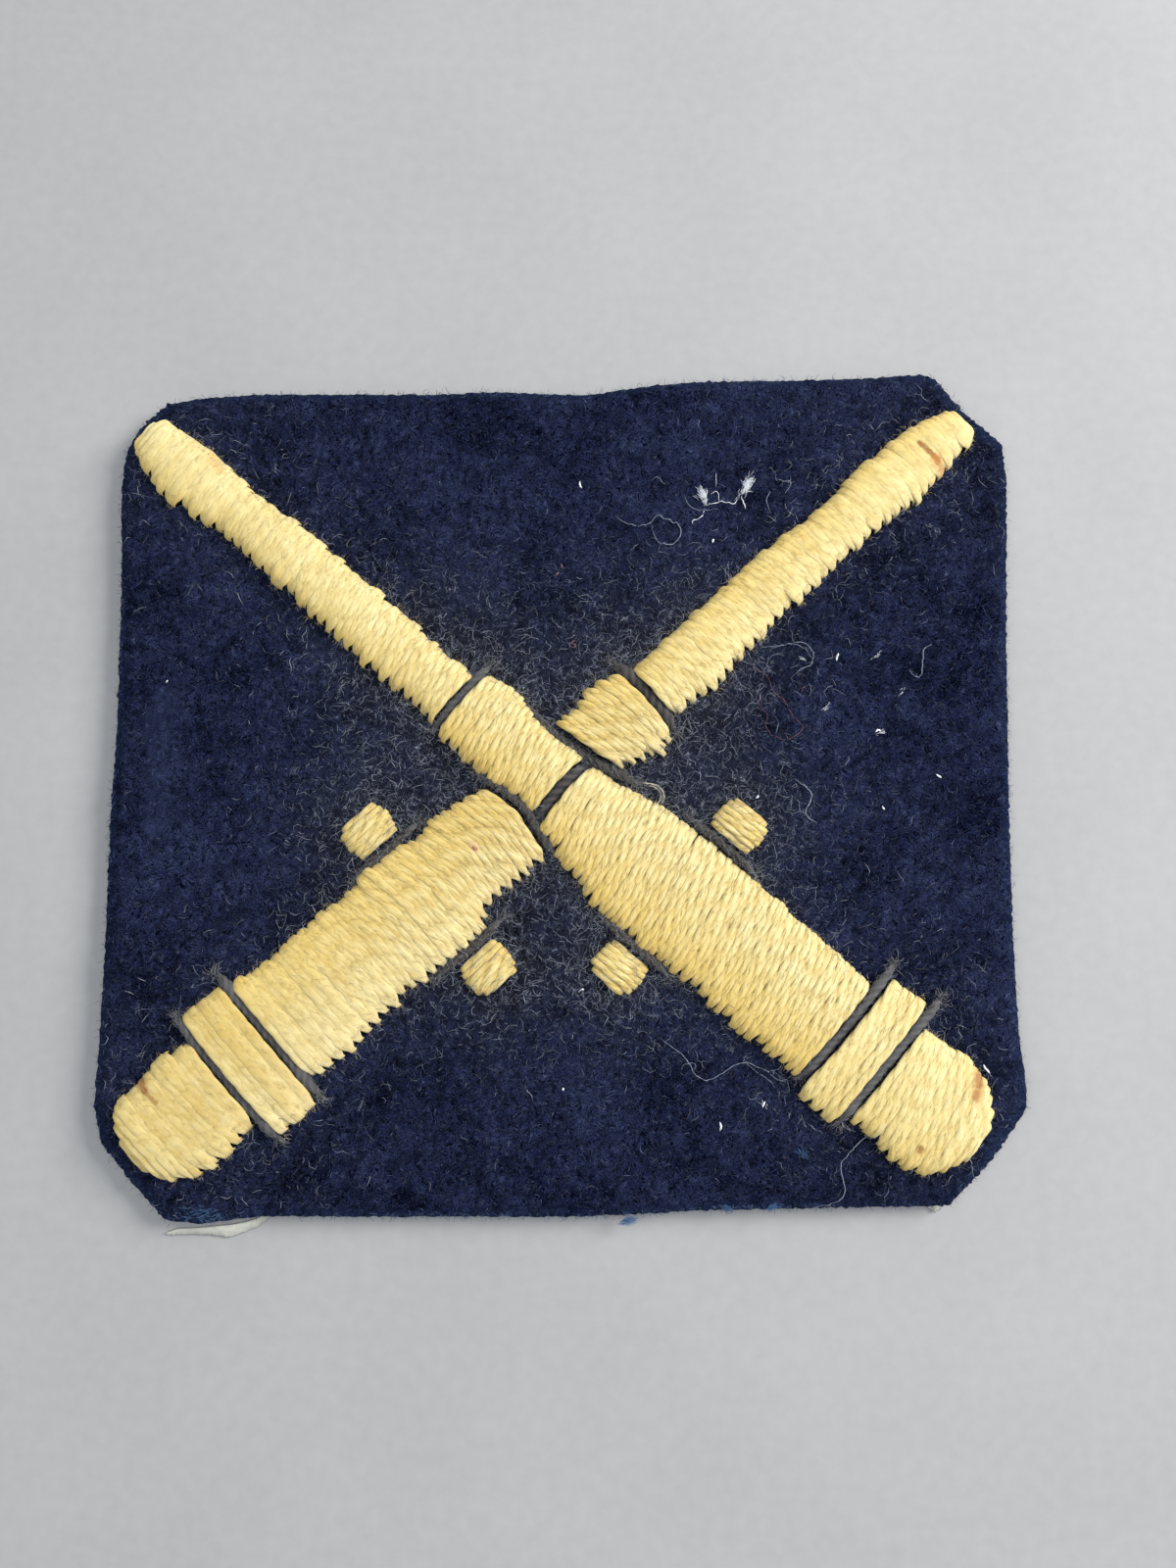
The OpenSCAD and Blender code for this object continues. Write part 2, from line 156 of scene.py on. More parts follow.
def put_mesh(name, points, faces, values, material, body="root"):
    """A smooth mesh from points in mm, face rows of equal length, and one value per point."""
    mesh = bpy.data.meshes.new(name)
    mesh.vertices.add(len(points))
    mesh.vertices.foreach_set("co", (points * MM).astype(np.float32).ravel())
    sizes = np.concatenate([np.full(len(rows), rows.shape[1]) for rows in faces])
    corners = np.concatenate([rows.ravel() for rows in faces])
    mesh.loops.add(len(corners))
    mesh.loops.foreach_set("vertex_index", corners.astype(np.int32))
    mesh.polygons.add(len(sizes))
    mesh.polygons.foreach_set("loop_start", (np.cumsum(sizes) - sizes).astype(np.int32))
    mesh.update(calc_edges=True)
    mesh.shade_smooth()
    for key, value in values.items():
        kind, field = ("FLOAT_VECTOR", "vector") if value.ndim == 2 else ("FLOAT", "value")
        layer = mesh.attributes.new(key, kind, "POINT")
        layer.data.foreach_set(field, value.astype(np.float32).ravel())
    mesh.materials.append(material)
    piece = bpy.data.objects.new(name, mesh)
    bpy.context.scene.collection.objects.link(piece)
    if body:
        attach(piece, body)
    triangles = int((sizes - 2).sum())
    print(f"{name}: {triangles} triangles, {signed_volume(points, faces):.2f} mm3")
    return piece


# %% Carry a ring along many paths
def tube_faces(count, rings, around):
    """Faces of count equal tubes: squares between rings, and one cap at each end."""
    first = np.arange(count)[:, None, None] * rings * around
    ring = np.arange(rings - 1)[None, :, None] * around
    side = np.arange(around)[None, None, :]
    a = first + ring + side
    b = first + ring + (side + 1) % around
    squares = np.stack([a, b, b + around, a + around], -1).reshape(-1, 4)
    start = first[:, 0] + np.arange(around)[::-1]
    end = first[:, 0] + (rings - 1) * around + np.arange(around)
    return [squares, np.concatenate([start, end])]


def circle(around):
    """Angles of a ring's points, at even steps round it."""
    return 2 * np.pi * np.arange(around) / around


def unit(vectors):
    """Vectors divided by their own length."""
    return vectors / np.maximum(np.linalg.norm(vectors, axis=-1, keepdims=True), 1e-9)


def sideways(paths):
    """For each path the level direction square to the line from its start to its end."""
    return unit(np.cross([0, 0, 1.0], paths[:, -1] - paths[:, 0]))


def sweep(paths, across, above):
    """Carries a closed ring along each path.

    A point is the path's point, plus across times the side direction, plus above times the
    direction square to both the side and the way ahead. paths is (count, rings, 3), and across
    and above are (count, rings, around)."""
    ahead = unit(np.gradient(paths, axis=1))
    side = np.broadcast_to(sideways(paths)[:, None], paths.shape)
    side = unit(side - (side * ahead).sum(-1, keepdims=True) * ahead)
    above_way = np.cross(ahead, side)
    points = (paths[:, :, None] + across[..., None] * side[:, :, None]
              + above[..., None] * above_way[:, :, None])
    return points.reshape(-1, 3), tube_faces(*across.shape)


def walked(paths):
    """How far each path has gone at each of its points: the running sum of its steps."""
    steps = np.linalg.norm(np.diff(paths, axis=1), axis=-1)
    return np.concatenate([np.zeros((len(paths), 1)), np.cumsum(steps, 1)], 1)


# %% [markdown]
# ## Chance that repeats
# Hand work is uneven, but a script has to give the same patch each time. Each piece throws its own
# dice, seeded by its name, so a change to one piece leaves its neighbours as they were.

# %% Seeded dice and drifting rows
def dice(word):
    """A random generator whose seed is worked out from a word."""
    return np.random.default_rng(zlib.crc32(word.encode()))


def ease(share):
    """Goes from 0 to 1 with a soft start and end: 3s^2 - 2s^3."""
    share = np.clip(share, 0, 1)
    return share * share * (3 - 2 * share)


def drift(rng, count, steps, knots):
    """Smooth random rows: normal numbers at even knots, with eased steps between them."""
    rows = rng.normal(size=(count, knots + 1))
    at = np.linspace(0, knots - 1e-6, steps)
    left = at.astype(int)
    share = ease(at - left)
    return rows[:, left] * (1 - share) + rows[:, left + 1] * share


print("first throw for the over cannon's body:", round(dice("over_body").uniform(), 4))

# %% [markdown]
# ## Where the pieces lie
# The two barrels cross at one point and lean by 41 and 41.8 degrees. Each barrel has its own
# axes: one from the muzzle to the breech, one to its upper side. The outline of a pad or the
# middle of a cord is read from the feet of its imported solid, so it always fits the frame.

# %% Barrel axes and feet of the solids
CROSSING = np.array([-0.84, -0.31])
OVER_LEAN = np.radians(41)
UNDER_LEAN = np.radians(41.8)
OVER = (CROSSING, np.array([np.cos(OVER_LEAN), -np.sin(OVER_LEAN)]),
        np.array([np.sin(OVER_LEAN), np.cos(OVER_LEAN)]))
UNDER = (CROSSING, np.array([-np.cos(UNDER_LEAN), -np.sin(UNDER_LEAN)]),
         np.array([-np.sin(UNDER_LEAN), np.cos(UNDER_LEAN)]))


def to_barrel(points, axes):
    """Place along and across a barrel: the offset from the crossing, along each of its axes."""
    offset = points[..., :2] - axes[0]
    return np.stack([offset @ axes[1], offset @ axes[2]], -1)


def to_patch(along, across, height, axes):
    """The point in the patch's own frame for a place on a barrel."""
    flat = axes[0] + along[..., None] * axes[1] + across[..., None] * axes[2]
    return np.concatenate([flat, np.broadcast_to(height, along.shape)[..., None]], -1)


def feet(solid):
    """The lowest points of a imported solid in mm, each once."""
    mesh = frame["nodes"][solid].data
    points = np.empty(len(mesh.vertices) * 3)
    mesh.vertices.foreach_get("co", points)
    points = points.reshape(-1, 3) / MM
    low = points[points[:, 2] < points[:, 2].min() + 0.01]
    return np.unique(low.round(3), axis=0)


def pad_edges(solid, axes):
    """The upper and the lower edge of a pad, each sorted along the barrel."""
    local = to_barrel(feet(solid), axes)
    local = local[np.argsort(local[:, 0])]
    return local[local[:, 1] > 0], local[local[:, 1] < 0]


def cord_line(solid, axes, sort_by):
    """The middle of a laid cord: its feet in neighbouring pairs, each pair's mean."""
    local = to_barrel(feet(solid), axes)
    local = local[np.argsort(local[:, sort_by])]
    return local.reshape(-1, 2, 2).mean(1)


STITCH_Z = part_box("over_body")[0].z / MM
PAD_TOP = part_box("over_body")[1].z / MM
FACE_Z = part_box("ground_cloth")[1].z / MM
CLOTH_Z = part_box("ground_cloth")[0].z / MM
print("cloth face, stitch feet and pad tops in mm:",
      [round(height, 2) for height in (FACE_Z, STITCH_Z, PAD_TOP)])

# %% [markdown]
# ## Shader tools
# A material here is a small tree of nodes. One helper adds a node and another wires its inputs,
# so a material reads from top to bottom. Effects that several materials share are node groups
# with named inputs and outputs: a cloudy tone, the grain of fibres and a stain along a line.

# %% Node helpers
def wire(tree, made, inputs):
    """Links each named input of a node to a socket, or sets it to a fixed value."""
    for key, value in inputs.items():
        if isinstance(value, bpy.types.NodeSocket):
            tree.links.new(value, made.inputs[key])
        else:
            made.inputs[key].default_value = value
    return made


def node(tree, kind, inputs=None, **settings):
    """Adds one shader node with its settings, and wires its inputs."""
    made = tree.nodes.new("ShaderNode" + kind)
    for key, value in settings.items():
        setattr(made, key, value)
    return wire(tree, made, inputs or {})


def attribute(tree, name, output="Fac"):
    """A value that the mesh carries, by its name."""
    return node(tree, "Attribute", attribute_name=name).outputs[output]


def noise(tree, place, scale, detail, roughness=0.5, output="Fac"):
    """Noise at a place. Its scale is in waves per metre."""
    return node(tree, "TexNoise", {"Vector": place, "Scale": scale, "Detail": detail,
                                   "Roughness": roughness}).outputs[output]


def blend(tree, share, first, second):
    """Colour between two colours by a share."""
    return node(tree, "Mix", {0: share, 6: first, 7: second}, data_type="RGBA").outputs[2]


def spread(tree, value, low, high):
    """Stretches the range from low to high over 0 to 1, and clips the rest."""
    return node(tree, "MapRange", {"Value": value, "From Min": low, "From Max": high}).outputs[0]


def bump(tree, height, strength, depth):
    """Normals from a height, as relief of the given depth in mm."""
    return node(tree, "Bump", {"Height": height, "Strength": strength,
                               "Distance": depth * MM}).outputs["Normal"]


# %% Arithmetic with nodes
def maths(tree, operation, first, second=0.0, clamp=False):
    """One arithmetic step on two numbers."""
    made = node(tree, "Math", {0: first, 1: second}, operation=operation, use_clamp=clamp)
    return made.outputs[0]


def times(tree, first, second):
    """Product of two numbers."""
    return maths(tree, "MULTIPLY", first, second)


def total(tree, *terms, clamp=False):
    """Sum of its terms. A term is a number, or a pair of a number and its weight."""
    parts = [times(tree, *term) if isinstance(term, tuple) else term for term in terms]
    result = parts[0]
    for part in parts[1:-1]:
        result = maths(tree, "ADD", result, part)
    return maths(tree, "ADD", result, parts[-1], clamp)


def vector_maths(tree, operation, first, second=(0, 0, 0), output="Vector"):
    """One step on two vectors."""
    return node(tree, "VectorMath", {0: first, 1: second}, operation=operation).outputs[output]


def scaled(tree, vector, factor):
    """A vector times a number."""
    made = node(tree, "VectorMath", {0: vector, "Scale": factor}, operation="SCALE")
    return made.outputs["Vector"]


# %% Group helpers
def shader_group(name, inputs, outputs):
    """An empty node group with its sockets, and the group's own input and output nodes."""
    group = bpy.data.node_groups.new(name, "ShaderNodeTree")
    for label, kind, value in inputs:
        socket = group.interface.new_socket(label, in_out="INPUT", socket_type="NodeSocket" + kind)
        if value is not None:
            socket.default_value = value
    for label, kind in outputs:
        group.interface.new_socket(label, in_out="OUTPUT", socket_type="NodeSocket" + kind)
    return (group, group.nodes.new("NodeGroupInput").outputs,
            group.nodes.new("NodeGroupOutput").inputs)


def use_group(tree, group, inputs):
    """Places a group in a material and wires its inputs."""
    made = tree.nodes.new("ShaderNodeGroup")
    made.node_tree = group
    return wire(tree, made, inputs).outputs


# %% Shared effects
def make_cloud():
    """Cloudy tone: coarse and fine noise added, stretched to a mask from 0 to 1."""
    group, given, out = shader_group(
        "cloudy tone",
        [("Vector", "Vector", None), ("Coarse", "Float", 400.0), ("Fine", "Float", 1600.0)],
        [("Mask", "Float")])
    both = total(group, noise(group, given["Vector"], given["Coarse"], 2.0),
                 noise(group, given["Vector"], given["Fine"], 3.0))
    group.links.new(spread(group, both, 0.7, 1.3), out["Mask"])
    return group


def make_grain():
    """Fibre grain: noise drawn out along one way, for streaks and for a bump height."""
    group, given, out = shader_group(
        "fibre grain",
        [("Vector", "Vector", None), ("Stretch", "Vector", (1.0, 8.0, 1.0))],
        [("Mask", "Float"), ("Height", "Float")])
    drawn = vector_maths(group, "MULTIPLY", given["Vector"], given["Stretch"])
    streak = noise(group, drawn, 1.0, 3.0, 0.6)
    group.links.new(spread(group, streak, 0.3, 0.7), out["Mask"])
    group.links.new(streak, out["Height"])
    return group


def make_stain():
    """Stain along a line: 1 on the line from Start to End, fading to 0 at Reach, with a torn rim.

    The nearest place on the line is Start plus the clipped share of the way, where the share is
    the offset's part along the line. The distance to it, shifted by noise, sets the mask."""
    group, given, out = shader_group(
        "stain along a line",
        [("Vector", "Vector", None), ("Start", "Vector", (0.0, 0.0, 0.0)),
         ("End", "Vector", (0.001, 0.0, 0.0)), ("Reach", "Float", 0.001), ("Rag", "Float", 1.1)],
        [("Mask", "Float")])
    way = vector_maths(group, "SUBTRACT", given["End"], given["Start"])
    offset = vector_maths(group, "SUBTRACT", given["Vector"], given["Start"])
    share = maths(group, "DIVIDE", vector_maths(group, "DOT_PRODUCT", offset, way, "Value"),
                  vector_maths(group, "DOT_PRODUCT", way, way, "Value"), clamp=True)
    past = vector_maths(group, "SUBTRACT", offset, scaled(group, way, share))
    gap = vector_maths(group, "LENGTH", past, output="Value")
    rag = total(group, noise(group, given["Vector"], 2600.0, 3.0), -0.5)
    reached = total(group, maths(group, "DIVIDE", gap, given["Reach"]), (rag, given["Rag"]))
    mask = maths(group, "MULTIPLY", maths(group, "SUBTRACT", 1.0, reached), 1.5, clamp=True)
    group.links.new(mask, out["Mask"])
    return group


CLOUD = make_cloud()
GRAIN = make_grain()
STAIN = make_stain()
print("shared effects:", [group.name for group in bpy.data.node_groups])

# %% [markdown]
# ## Gold cotton
# The barrels are worked in a soft two-ply cotton. Its colour is painted pale gold on the backs of
# the plies and deeper between the threads, as painted light and shade. A thread shows thin fibres
# that follow its twist and a groove of painted shade between its plies. Both follow the thread, so
# the mesh carries a coordinate along and round each thread.
# Old cotton also has spots: a brown smear on each muzzle and breech, and a pink one near a
# trunnion. They are stains along short lines, in the patch's own coordinates.

# %% Gold cotton finish
GOLD_PALE = (0.75, 0.65, 0.335, 1)
GOLD_DEEP = (0.54, 0.395, 0.13, 1)
# Painted shade: grooves between plies and threads, dark dashes between fibres, the core below
GOLD_GROOVE_SHADE = (0.25, 0.17, 0.055, 1)
# Painted shade towards a pad's edge on the side away from the light
GOLD_EDGE_SHADE = (0.66, 0.47, 0.13, 1)
# Pale fibre flecks, and painted highlight towards a pad's edge on the side towards the light
GOLD_FLECK_AND_HIGHLIGHT = (0.78, 0.69, 0.43, 1)
RUST = (0.25, 0.095, 0.022, 1)
# Each stain: start x, y and end x, y in mm, its reach in mm, its strength and colour
STAINS = [
    (29.05, 27.6, 30.5, 26.15, 0.17, 0.9, RUST),
    (30.3, 26.3, 31.2, 25.1, 0.32, 0.65, (0.42, 0.17, 0.045, 1)),
    (-32.6, -22.95, -31.95, -24.1, 0.17, 0.85, RUST),
    (-31.95, -24.1, -31.0, -24.95, 0.14, 0.6, RUST),
    (-32.6, -23.0, -32.2, -23.6, 0.4, 0.4, (0.36, 0.16, 0.045, 1)),
    (32.0, -23.0, 31.85, -23.7, 0.2, 0.8, (0.27, 0.09, 0.03, 1)),
    (31.7, -24.2, 31.55, -24.6, 0.18, 0.75, (0.27, 0.09, 0.03, 1)),
    (32.0, -23.0, 31.55, -24.6, 0.42, 0.3, (0.42, 0.18, 0.06, 1)),
    (27.25, -28.3, 27.15, -28.6, 0.15, 0.85, (0.26, 0.12, 0.035, 1)),
    (-28.9, 26.6, -27.9, 25.3, 0.28, 0.5, (0.50, 0.30, 0.09, 1)),
    (-7.15, -5.25, -6.75, -5.65, 0.25, 0.4, (0.70, 0.40, 0.28, 1)),
    (-7.0, -5.5, -6.8, -5.6, 0.1, 0.8, (0.22, 0.09, 0.03, 1)),
]


def new_finish(name):
    """A node material with a Principled shader: its tree, that shader and Object coordinates."""
    material = bpy.data.materials.new(name)
    material.use_nodes = True
    tree = material.node_tree
    place = node(tree, "TexCoord").outputs["Object"]
    return material, tree, tree.nodes["Principled BSDF"], place


def stained(tree, place, colour):
    """The colour with each stain of the table laid over it, seen straight from above."""
    flat = vector_maths(tree, "MULTIPLY", place, (1, 1, 0))
    for x0, y0, x1, y1, reach, strength, stain_colour in STAINS:
        mask = use_group(tree, STAIN, {
            "Vector": flat, "Start": (x0 * MM, y0 * MM, 0), "End": (x1 * MM, y1 * MM, 0),
            "Reach": reach * 2 * MM})["Mask"]
        colour = blend(tree, times(tree, mask, strength), colour, stain_colour)
    return colour


def gold_cotton():
    """Per-thread tone, fibre streaks, painted shade in the ply grooves, painted shade and highlight
    towards the edges, stains and a fibre bump.

    The crown value goes from 0 in a ply's groove to 1 on its back: the back is painted paler and
    the groove darker. A dash of painted shade lies only where the groove meets the thread's side,
    so the height on the thread is added to the crown first. Finer dashes of painted shade lie
    between the
    fibres themselves, where a drawn-out noise passes a limit. A soft pad has less of all of these:
    they are multiplied by 1 - 0.7 soft."""
    material, tree, shader, place = new_finish("gold cotton")
    lay = attribute(tree, "lay", "Vector")
    crown = attribute(tree, "crown")
    foot = attribute(tree, "foot")
    soft = attribute(tree, "soft")
    lively = total(tree, 1.0, (soft, -0.7))
    fibres = use_group(tree, GRAIN, {"Vector": lay, "Stretch": (1.5, 9.5, 1.0)})
    dashes = use_group(tree, GRAIN, {"Vector": lay, "Stretch": (1.2, 7.5, 1.7)})["Height"]
    patches = use_group(tree, CLOUD, {"Vector": place, "Coarse": 260.0, "Fine": 1100.0})["Mask"]
    # The crown term paints each ply paler on its back and darker at its grooves, as painted light
    share = total(tree, (attribute(tree, "tone"), 0.6), (times(tree, fibres["Mask"], lively), 0.4),
                  (patches, 0.35), (crown, 0.65), -0.45, clamp=True)
    colour = blend(tree, share, GOLD_DEEP, GOLD_PALE)
    # Painted shade towards an edge away from the light; below 0, painted highlight towards one
    # facing it
    colour = blend(tree, spread(tree, foot, 0.0, 1.0), colour, GOLD_EDGE_SHADE)
    colour = blend(tree, spread(tree, foot, 0.0, -1.0), colour, GOLD_FLECK_AND_HIGHLIGHT)
    # Painted shade in the ply grooves and on the threads' sides where they meet
    raised = total(tree, (crown, 1.2), (spread(tree, attribute(tree, "rise"), 0.76, 0.99), 0.75),
                   (fibres["Mask"], 0.15))
    colour = blend(tree, spread(tree, raised, 0.1, 0.5), GOLD_GROOVE_SHADE, colour)
    # Dark dashes are painted shade between the fibres; light ones are pale fibre flecks
    dark = times(tree, spread(tree, dashes, 0.45, 0.34), 0.7)
    light = times(tree, spread(tree, dashes, 0.58, 0.7), 0.5)
    colour = blend(tree, times(tree, dark, lively), colour, GOLD_GROOVE_SHADE)
    colour = blend(tree, times(tree, light, lively), colour, GOLD_FLECK_AND_HIGHLIGHT)
    relief = total(tree, fibres["Height"], (dashes, 1.2))
    height = times(tree, relief, total(tree, 1.0, (soft, -0.8)))
    wire(tree, shader, {
        "Base Color": stained(tree, place, colour), "Normal": bump(tree, height, 0.8, 0.06),
        "Roughness": 0.9, "Specular IOR Level": 0.06, "Sheen Weight": 0.2, "Sheen Roughness": 0.6,
        "Sheen Tint": (1.0, 0.93, 0.72, 1)})
    return material


GOLD_COTTON = gold_cotton()
print("stains on the cotton:", len(STAINS))

# %% [markdown]
# ## Padded satin stitch
# In satin stitch each thread runs straight across the shape over a soft filling and goes down
# through the cloth at both edges. Seen close, a pad is a row of twisted threads that part into
# fingers at its lower edge and fan out beside the dark cords. A bump map would keep a smooth
# outline, so the threads are real tubes here, and a plain core under them closes the gaps.
# The threads of one pad are one array: thread by thread, ring by ring.

# %% Yarn and arch of a padded thread
THREAD_PITCH = 0.49
THREAD_SIDE = 0.37
THREAD_UP = 0.2
PLIES = 2
PLY_TURN = 3.7
GROOVE_BESIDE = 0.36
GROOVE_ABOVE = 0.25
RING_STEP = 0.28
ARCH_POWER = 2.2
# Heights of a thread's last two rings, down in the cloth
DIVE = np.array([-0.5, -0.2])
# Places of a ply's points, from its groove to the next, as shares of the way
PLY_SHARES = np.array([0, 0.1, 0.3, 0.5, 0.7, 0.9])


def yarn_ring():
    """Angles round a two-ply yarn, how near each is to a ply's crown, and the groove there.

    With c the nearness to the crown, the groove is 1 - sqrt(1 - 0.97 (1 - c)^2): nothing on a
    ply's back, and sharp between two plies."""
    share = np.tile(PLY_SHARES, PLIES)
    angle = (np.repeat(np.arange(PLIES), len(PLY_SHARES)) + share) * 2 * np.pi / PLIES
    crown = 1 - np.abs(2 * share - 1)
    return angle, crown, 1 - np.sqrt(1 - 0.97 * (1 - crown) ** 2)


def arch_walk(half, height, rings):
    """Even steps over a rounded arch, from its lower foot to its upper one.

    The arch is a superellipse: |t|^2.2 + u^2.2 = 1, where t is the share of the half width and
    u the share of the height. Its angle is walked finely, and then read at even lengths."""
    angle = np.linspace(0, np.pi, 400)
    t = -np.sign(np.cos(angle)) * np.abs(np.cos(angle)) ** (2 / ARCH_POWER)
    u = np.maximum(np.sin(angle), 0) ** (2 / ARCH_POWER)
    length = np.concatenate([[0], np.cumsum(np.hypot(half * np.diff(t), height * np.diff(u)))])
    even = np.linspace(0, length[-1], rings)
    return np.interp(even, length, t), np.interp(even, length, u)


# %% How a satin area may look
# What holds for a pad when nothing else is said. A pair is for the upper and the lower edge, and
# a value marked first to last may be a pair for the first thread and the last.
PLAIN_SATIN = {
    # How unevenly the threads reach the edge, in mm, first to last
    "depths": (0.12, 0.24),
    # How far they lean together there, as a share of the pitch, and over what length in mm
    "pull": (0.12, 0.3),
    "part": (0.6, 0.9),
    # Sizes of the bunches that they lean together in
    "bunches": (1, 2, 2, 2, 3, 3),
    # Painted shade towards the edge, deeper gold on the side away from the light. Below 0 it is a
    # painted highlight instead, paler gold on the side towards the light
    "deep": (0.1, 0.75),
    # How far the row of feet lies out past the solid's edge, in mm
    "spill": (-0.1, 0.1),
    # Flat, even threads, and weak dashes between them, first to last
    "smooth": 0.0,
    "faint": 0.0,
    # Tone of the threads, first to last
    "bright": 0.5,
    # Distance from thread to thread, half width of a thread, and how much lower the pad is, in mm
    "pitch": THREAD_PITCH,
    "side": THREAD_SIDE,
    "low": 0.0,
    # How far the feet of the first and last threads are drawn in, in mm
    "corner": 0.0,
    # Over what length the start keeps the width of the place behind it, in mm
    "square": 0.0,
}
LEAN_LENGTH = 3.2
ROUND_LENGTH = 1.3


class PadPlan:
    """Where a pad's threads lie: between two edges and two end lines, with their own lean."""

    def __init__(self, name, axes, start, end, skew, end_skew):
        """An end line is given beside a cord. Without one, that end of the pad is free."""
        self.upper, self.lower = pad_edges(name, axes)
        self.free = start is None, end is None
        self.start = np.stack([self.lower[0], self.upper[0]]) if start is None else start
        self.end = np.stack([self.lower[-1], self.upper[-1]]) if end is None else end
        self.long = (np.interp(0, self.end[:, 1], self.end[:, 0])
                     - np.interp(0, self.start[:, 1], self.start[:, 0]))
        self.skew = skew
        self.end_skew = end_skew

    def along(self, f, y):
        """Place along the barrel of the thread at share f, at y across the barrel:
        (1 - f) start(y) + f end(y) + skew(f) y. The skew eases into its values at the ends."""
        near = [1 - ease(d * self.long / LEAN_LENGTH) for d in (f, 1 - f)]
        lean = (self.skew * (1 - near[0] - near[1]) + self.end_skew[0] * near[0]
                + self.end_skew[1] * near[1])
        at = (np.interp(y, self.start[:, 1], self.start[:, 0]) * (1 - f)
              + np.interp(y, self.end[:, 1], self.end[:, 0]) * f)
        return at + lean * y

    def edge_at(self, f, edge):
        """Where the thread at share f meets an edge, found by stepping to and fro six times."""
        y = np.full(f.shape, edge[:, 1].mean())
        for _ in range(6):
            y = np.interp(self.along(f, y), edge[:, 0], edge[:, 1])
        return y

    def end_rise(self, f):
        """The arch is lower towards a free end: (1 - (1 - d / 1.3)^2)^0.7 at d mm from it."""
        rise = np.ones(f.shape)
        for loose, d in zip(self.free, (f * self.long, (1 - f) * self.long)):
            rise = rise * (1 - loose * (1 - np.clip(d / ROUND_LENGTH, 0, 1)) ** 2) ** 0.7
        return rise[:, None]


# %% Fingers at a pad's edge
def fingers(rng, count, depth, bunches):
    """Threads end in bunches: each bunch's reach, less the square of the place in the bunch, plus
    a little of its own. Also gives how far each thread is from its bunch's middle."""
    sizes = rng.choice(bunches, count)
    group = np.repeat(np.arange(count), sizes)[:count]
    place = np.concatenate([np.linspace(-1, 1, n) if n > 1 else [0] for n in sizes])[:count]
    own = rng.normal(0, 0.6, count)[group] - 0.4 * place ** 2 + rng.normal(0, 0.25, count) + 0.2
    return depth * own, place


def first_to_last(value, count):
    """A value for each thread, going evenly from that of the first to that of the last."""
    return np.linspace(*np.broadcast_to(value, 2), count)


def thread_reach(rng, plan, look, f):
    """How far each thread reaches to the upper and the lower side, and where in its bunch it is."""
    drawn_in = look.corner * np.abs(2 * f - 1) ** 5
    wide_at = np.maximum(f, look.square / plan.long)
    halves, places = [], []
    for way, edge, depth, spill in zip((1, -1), (plan.upper, plan.lower), look.depths, look.spill):
        reach, place = fingers(rng, len(f), first_to_last(depth, len(f)), look.bunches)
        halves.append(way * plan.edge_at(wide_at, edge) + reach + spill - drawn_in)
        places.append(place[:, None])
    return halves, places


# %% Middle lines of a pad's threads
# How uneven hand work is, in mm: sideways, in height along a thread, from thread to thread and
# over the whole row. A smooth pad has less of it
WANDER = 0.025
WAVE = 0.02
OWN_HEIGHT = 0.018
OWN_LEAN = 0.004


def thread_paths(rng, plan, look, top, axes):
    """Each thread's middle line, from its lower foot over the arch to its upper foot.

    The ring at share t of the half width lies at t times the thread's own reach across the
    barrel, at the plan's place along it, and as high as the arch there. Also gives those shares,
    the mean half width, and how near each ring is to the upper and the lower foot."""
    count = len(look.smooth)
    rough = 1 - 0.75 * look.smooth[..., 0]
    f = (np.arange(count) + 0.5 + rough[:, 0] * rng.uniform(-0.08, 0.08, count)) / count
    halves, places = thread_reach(rng, plan, look, f)
    half = (halves[0].mean() + halves[1].mean()) / 2
    step = RING_STEP * (1 + 0.3 * look.smooth.mean())
    t, u = arch_walk(half, top, max(int(2 * (half + 0.7 * top) / step), 16))
    t = np.concatenate([t[:1], t[:1], t, t[-1:], t[-1:]])
    u = np.concatenate([DIVE, u, DIVE[::-1]])
    rings = len(t)
    near = [ease((way * t * half - half + over) / over) for way, over in zip((1, -1), look.part)]
    y = np.where(t > 0, t * halves[0][:, None], t * halves[1][:, None])
    x = plan.along(f[:, None], y)
    x = x - look.pitch * (look.pull[0] * places[0] * near[0] + look.pull[1] * places[1] * near[1])
    x = x + rough * (WANDER * drift(rng, count, rings, 5)
                     + y * rng.normal(0, OWN_LEAN, count)[:, None])
    z = STITCH_Z + np.where(u < 0, u, u * (top - THREAD_UP) * plan.end_rise(f))
    z = z + np.clip(u, 0, 1) * (
        rough * (WAVE * drift(rng, count, rings, 4) + rng.normal(0, OWN_HEIGHT, count)[:, None])
        + (0.02 + 0.03 * rough) * drift(rng, 1, count, max(count // 9, 2))[0][:, None])
    return to_patch(x, y, z, axes), t, half, near


# %% Spin the yarn
# Each thread reads the shader's noise at its own place, this far from the thread before
APART = 7.31
FOOT_LENGTH = 1.2


def golden(rng, look, t, half, count):
    """How much painted edge shade each ring gets, a painted highlight where it is below 0: for each
    edge its amount times a broad part, clip(0.25 + t), and a part over the last 1.2 mm. Each thread
    has a little more or less of it."""
    foot = sum(share * (0.6 * np.clip(0.25 + way * t, 0, 1)
                        + 0.4 * ease((way * t * half - half + FOOT_LENGTH) / FOOT_LENGTH))
               for share, way in zip(look.deep, (1, -1)))
    return (foot * rng.uniform(0.7, 1.1, count)[:, None])[..., None]


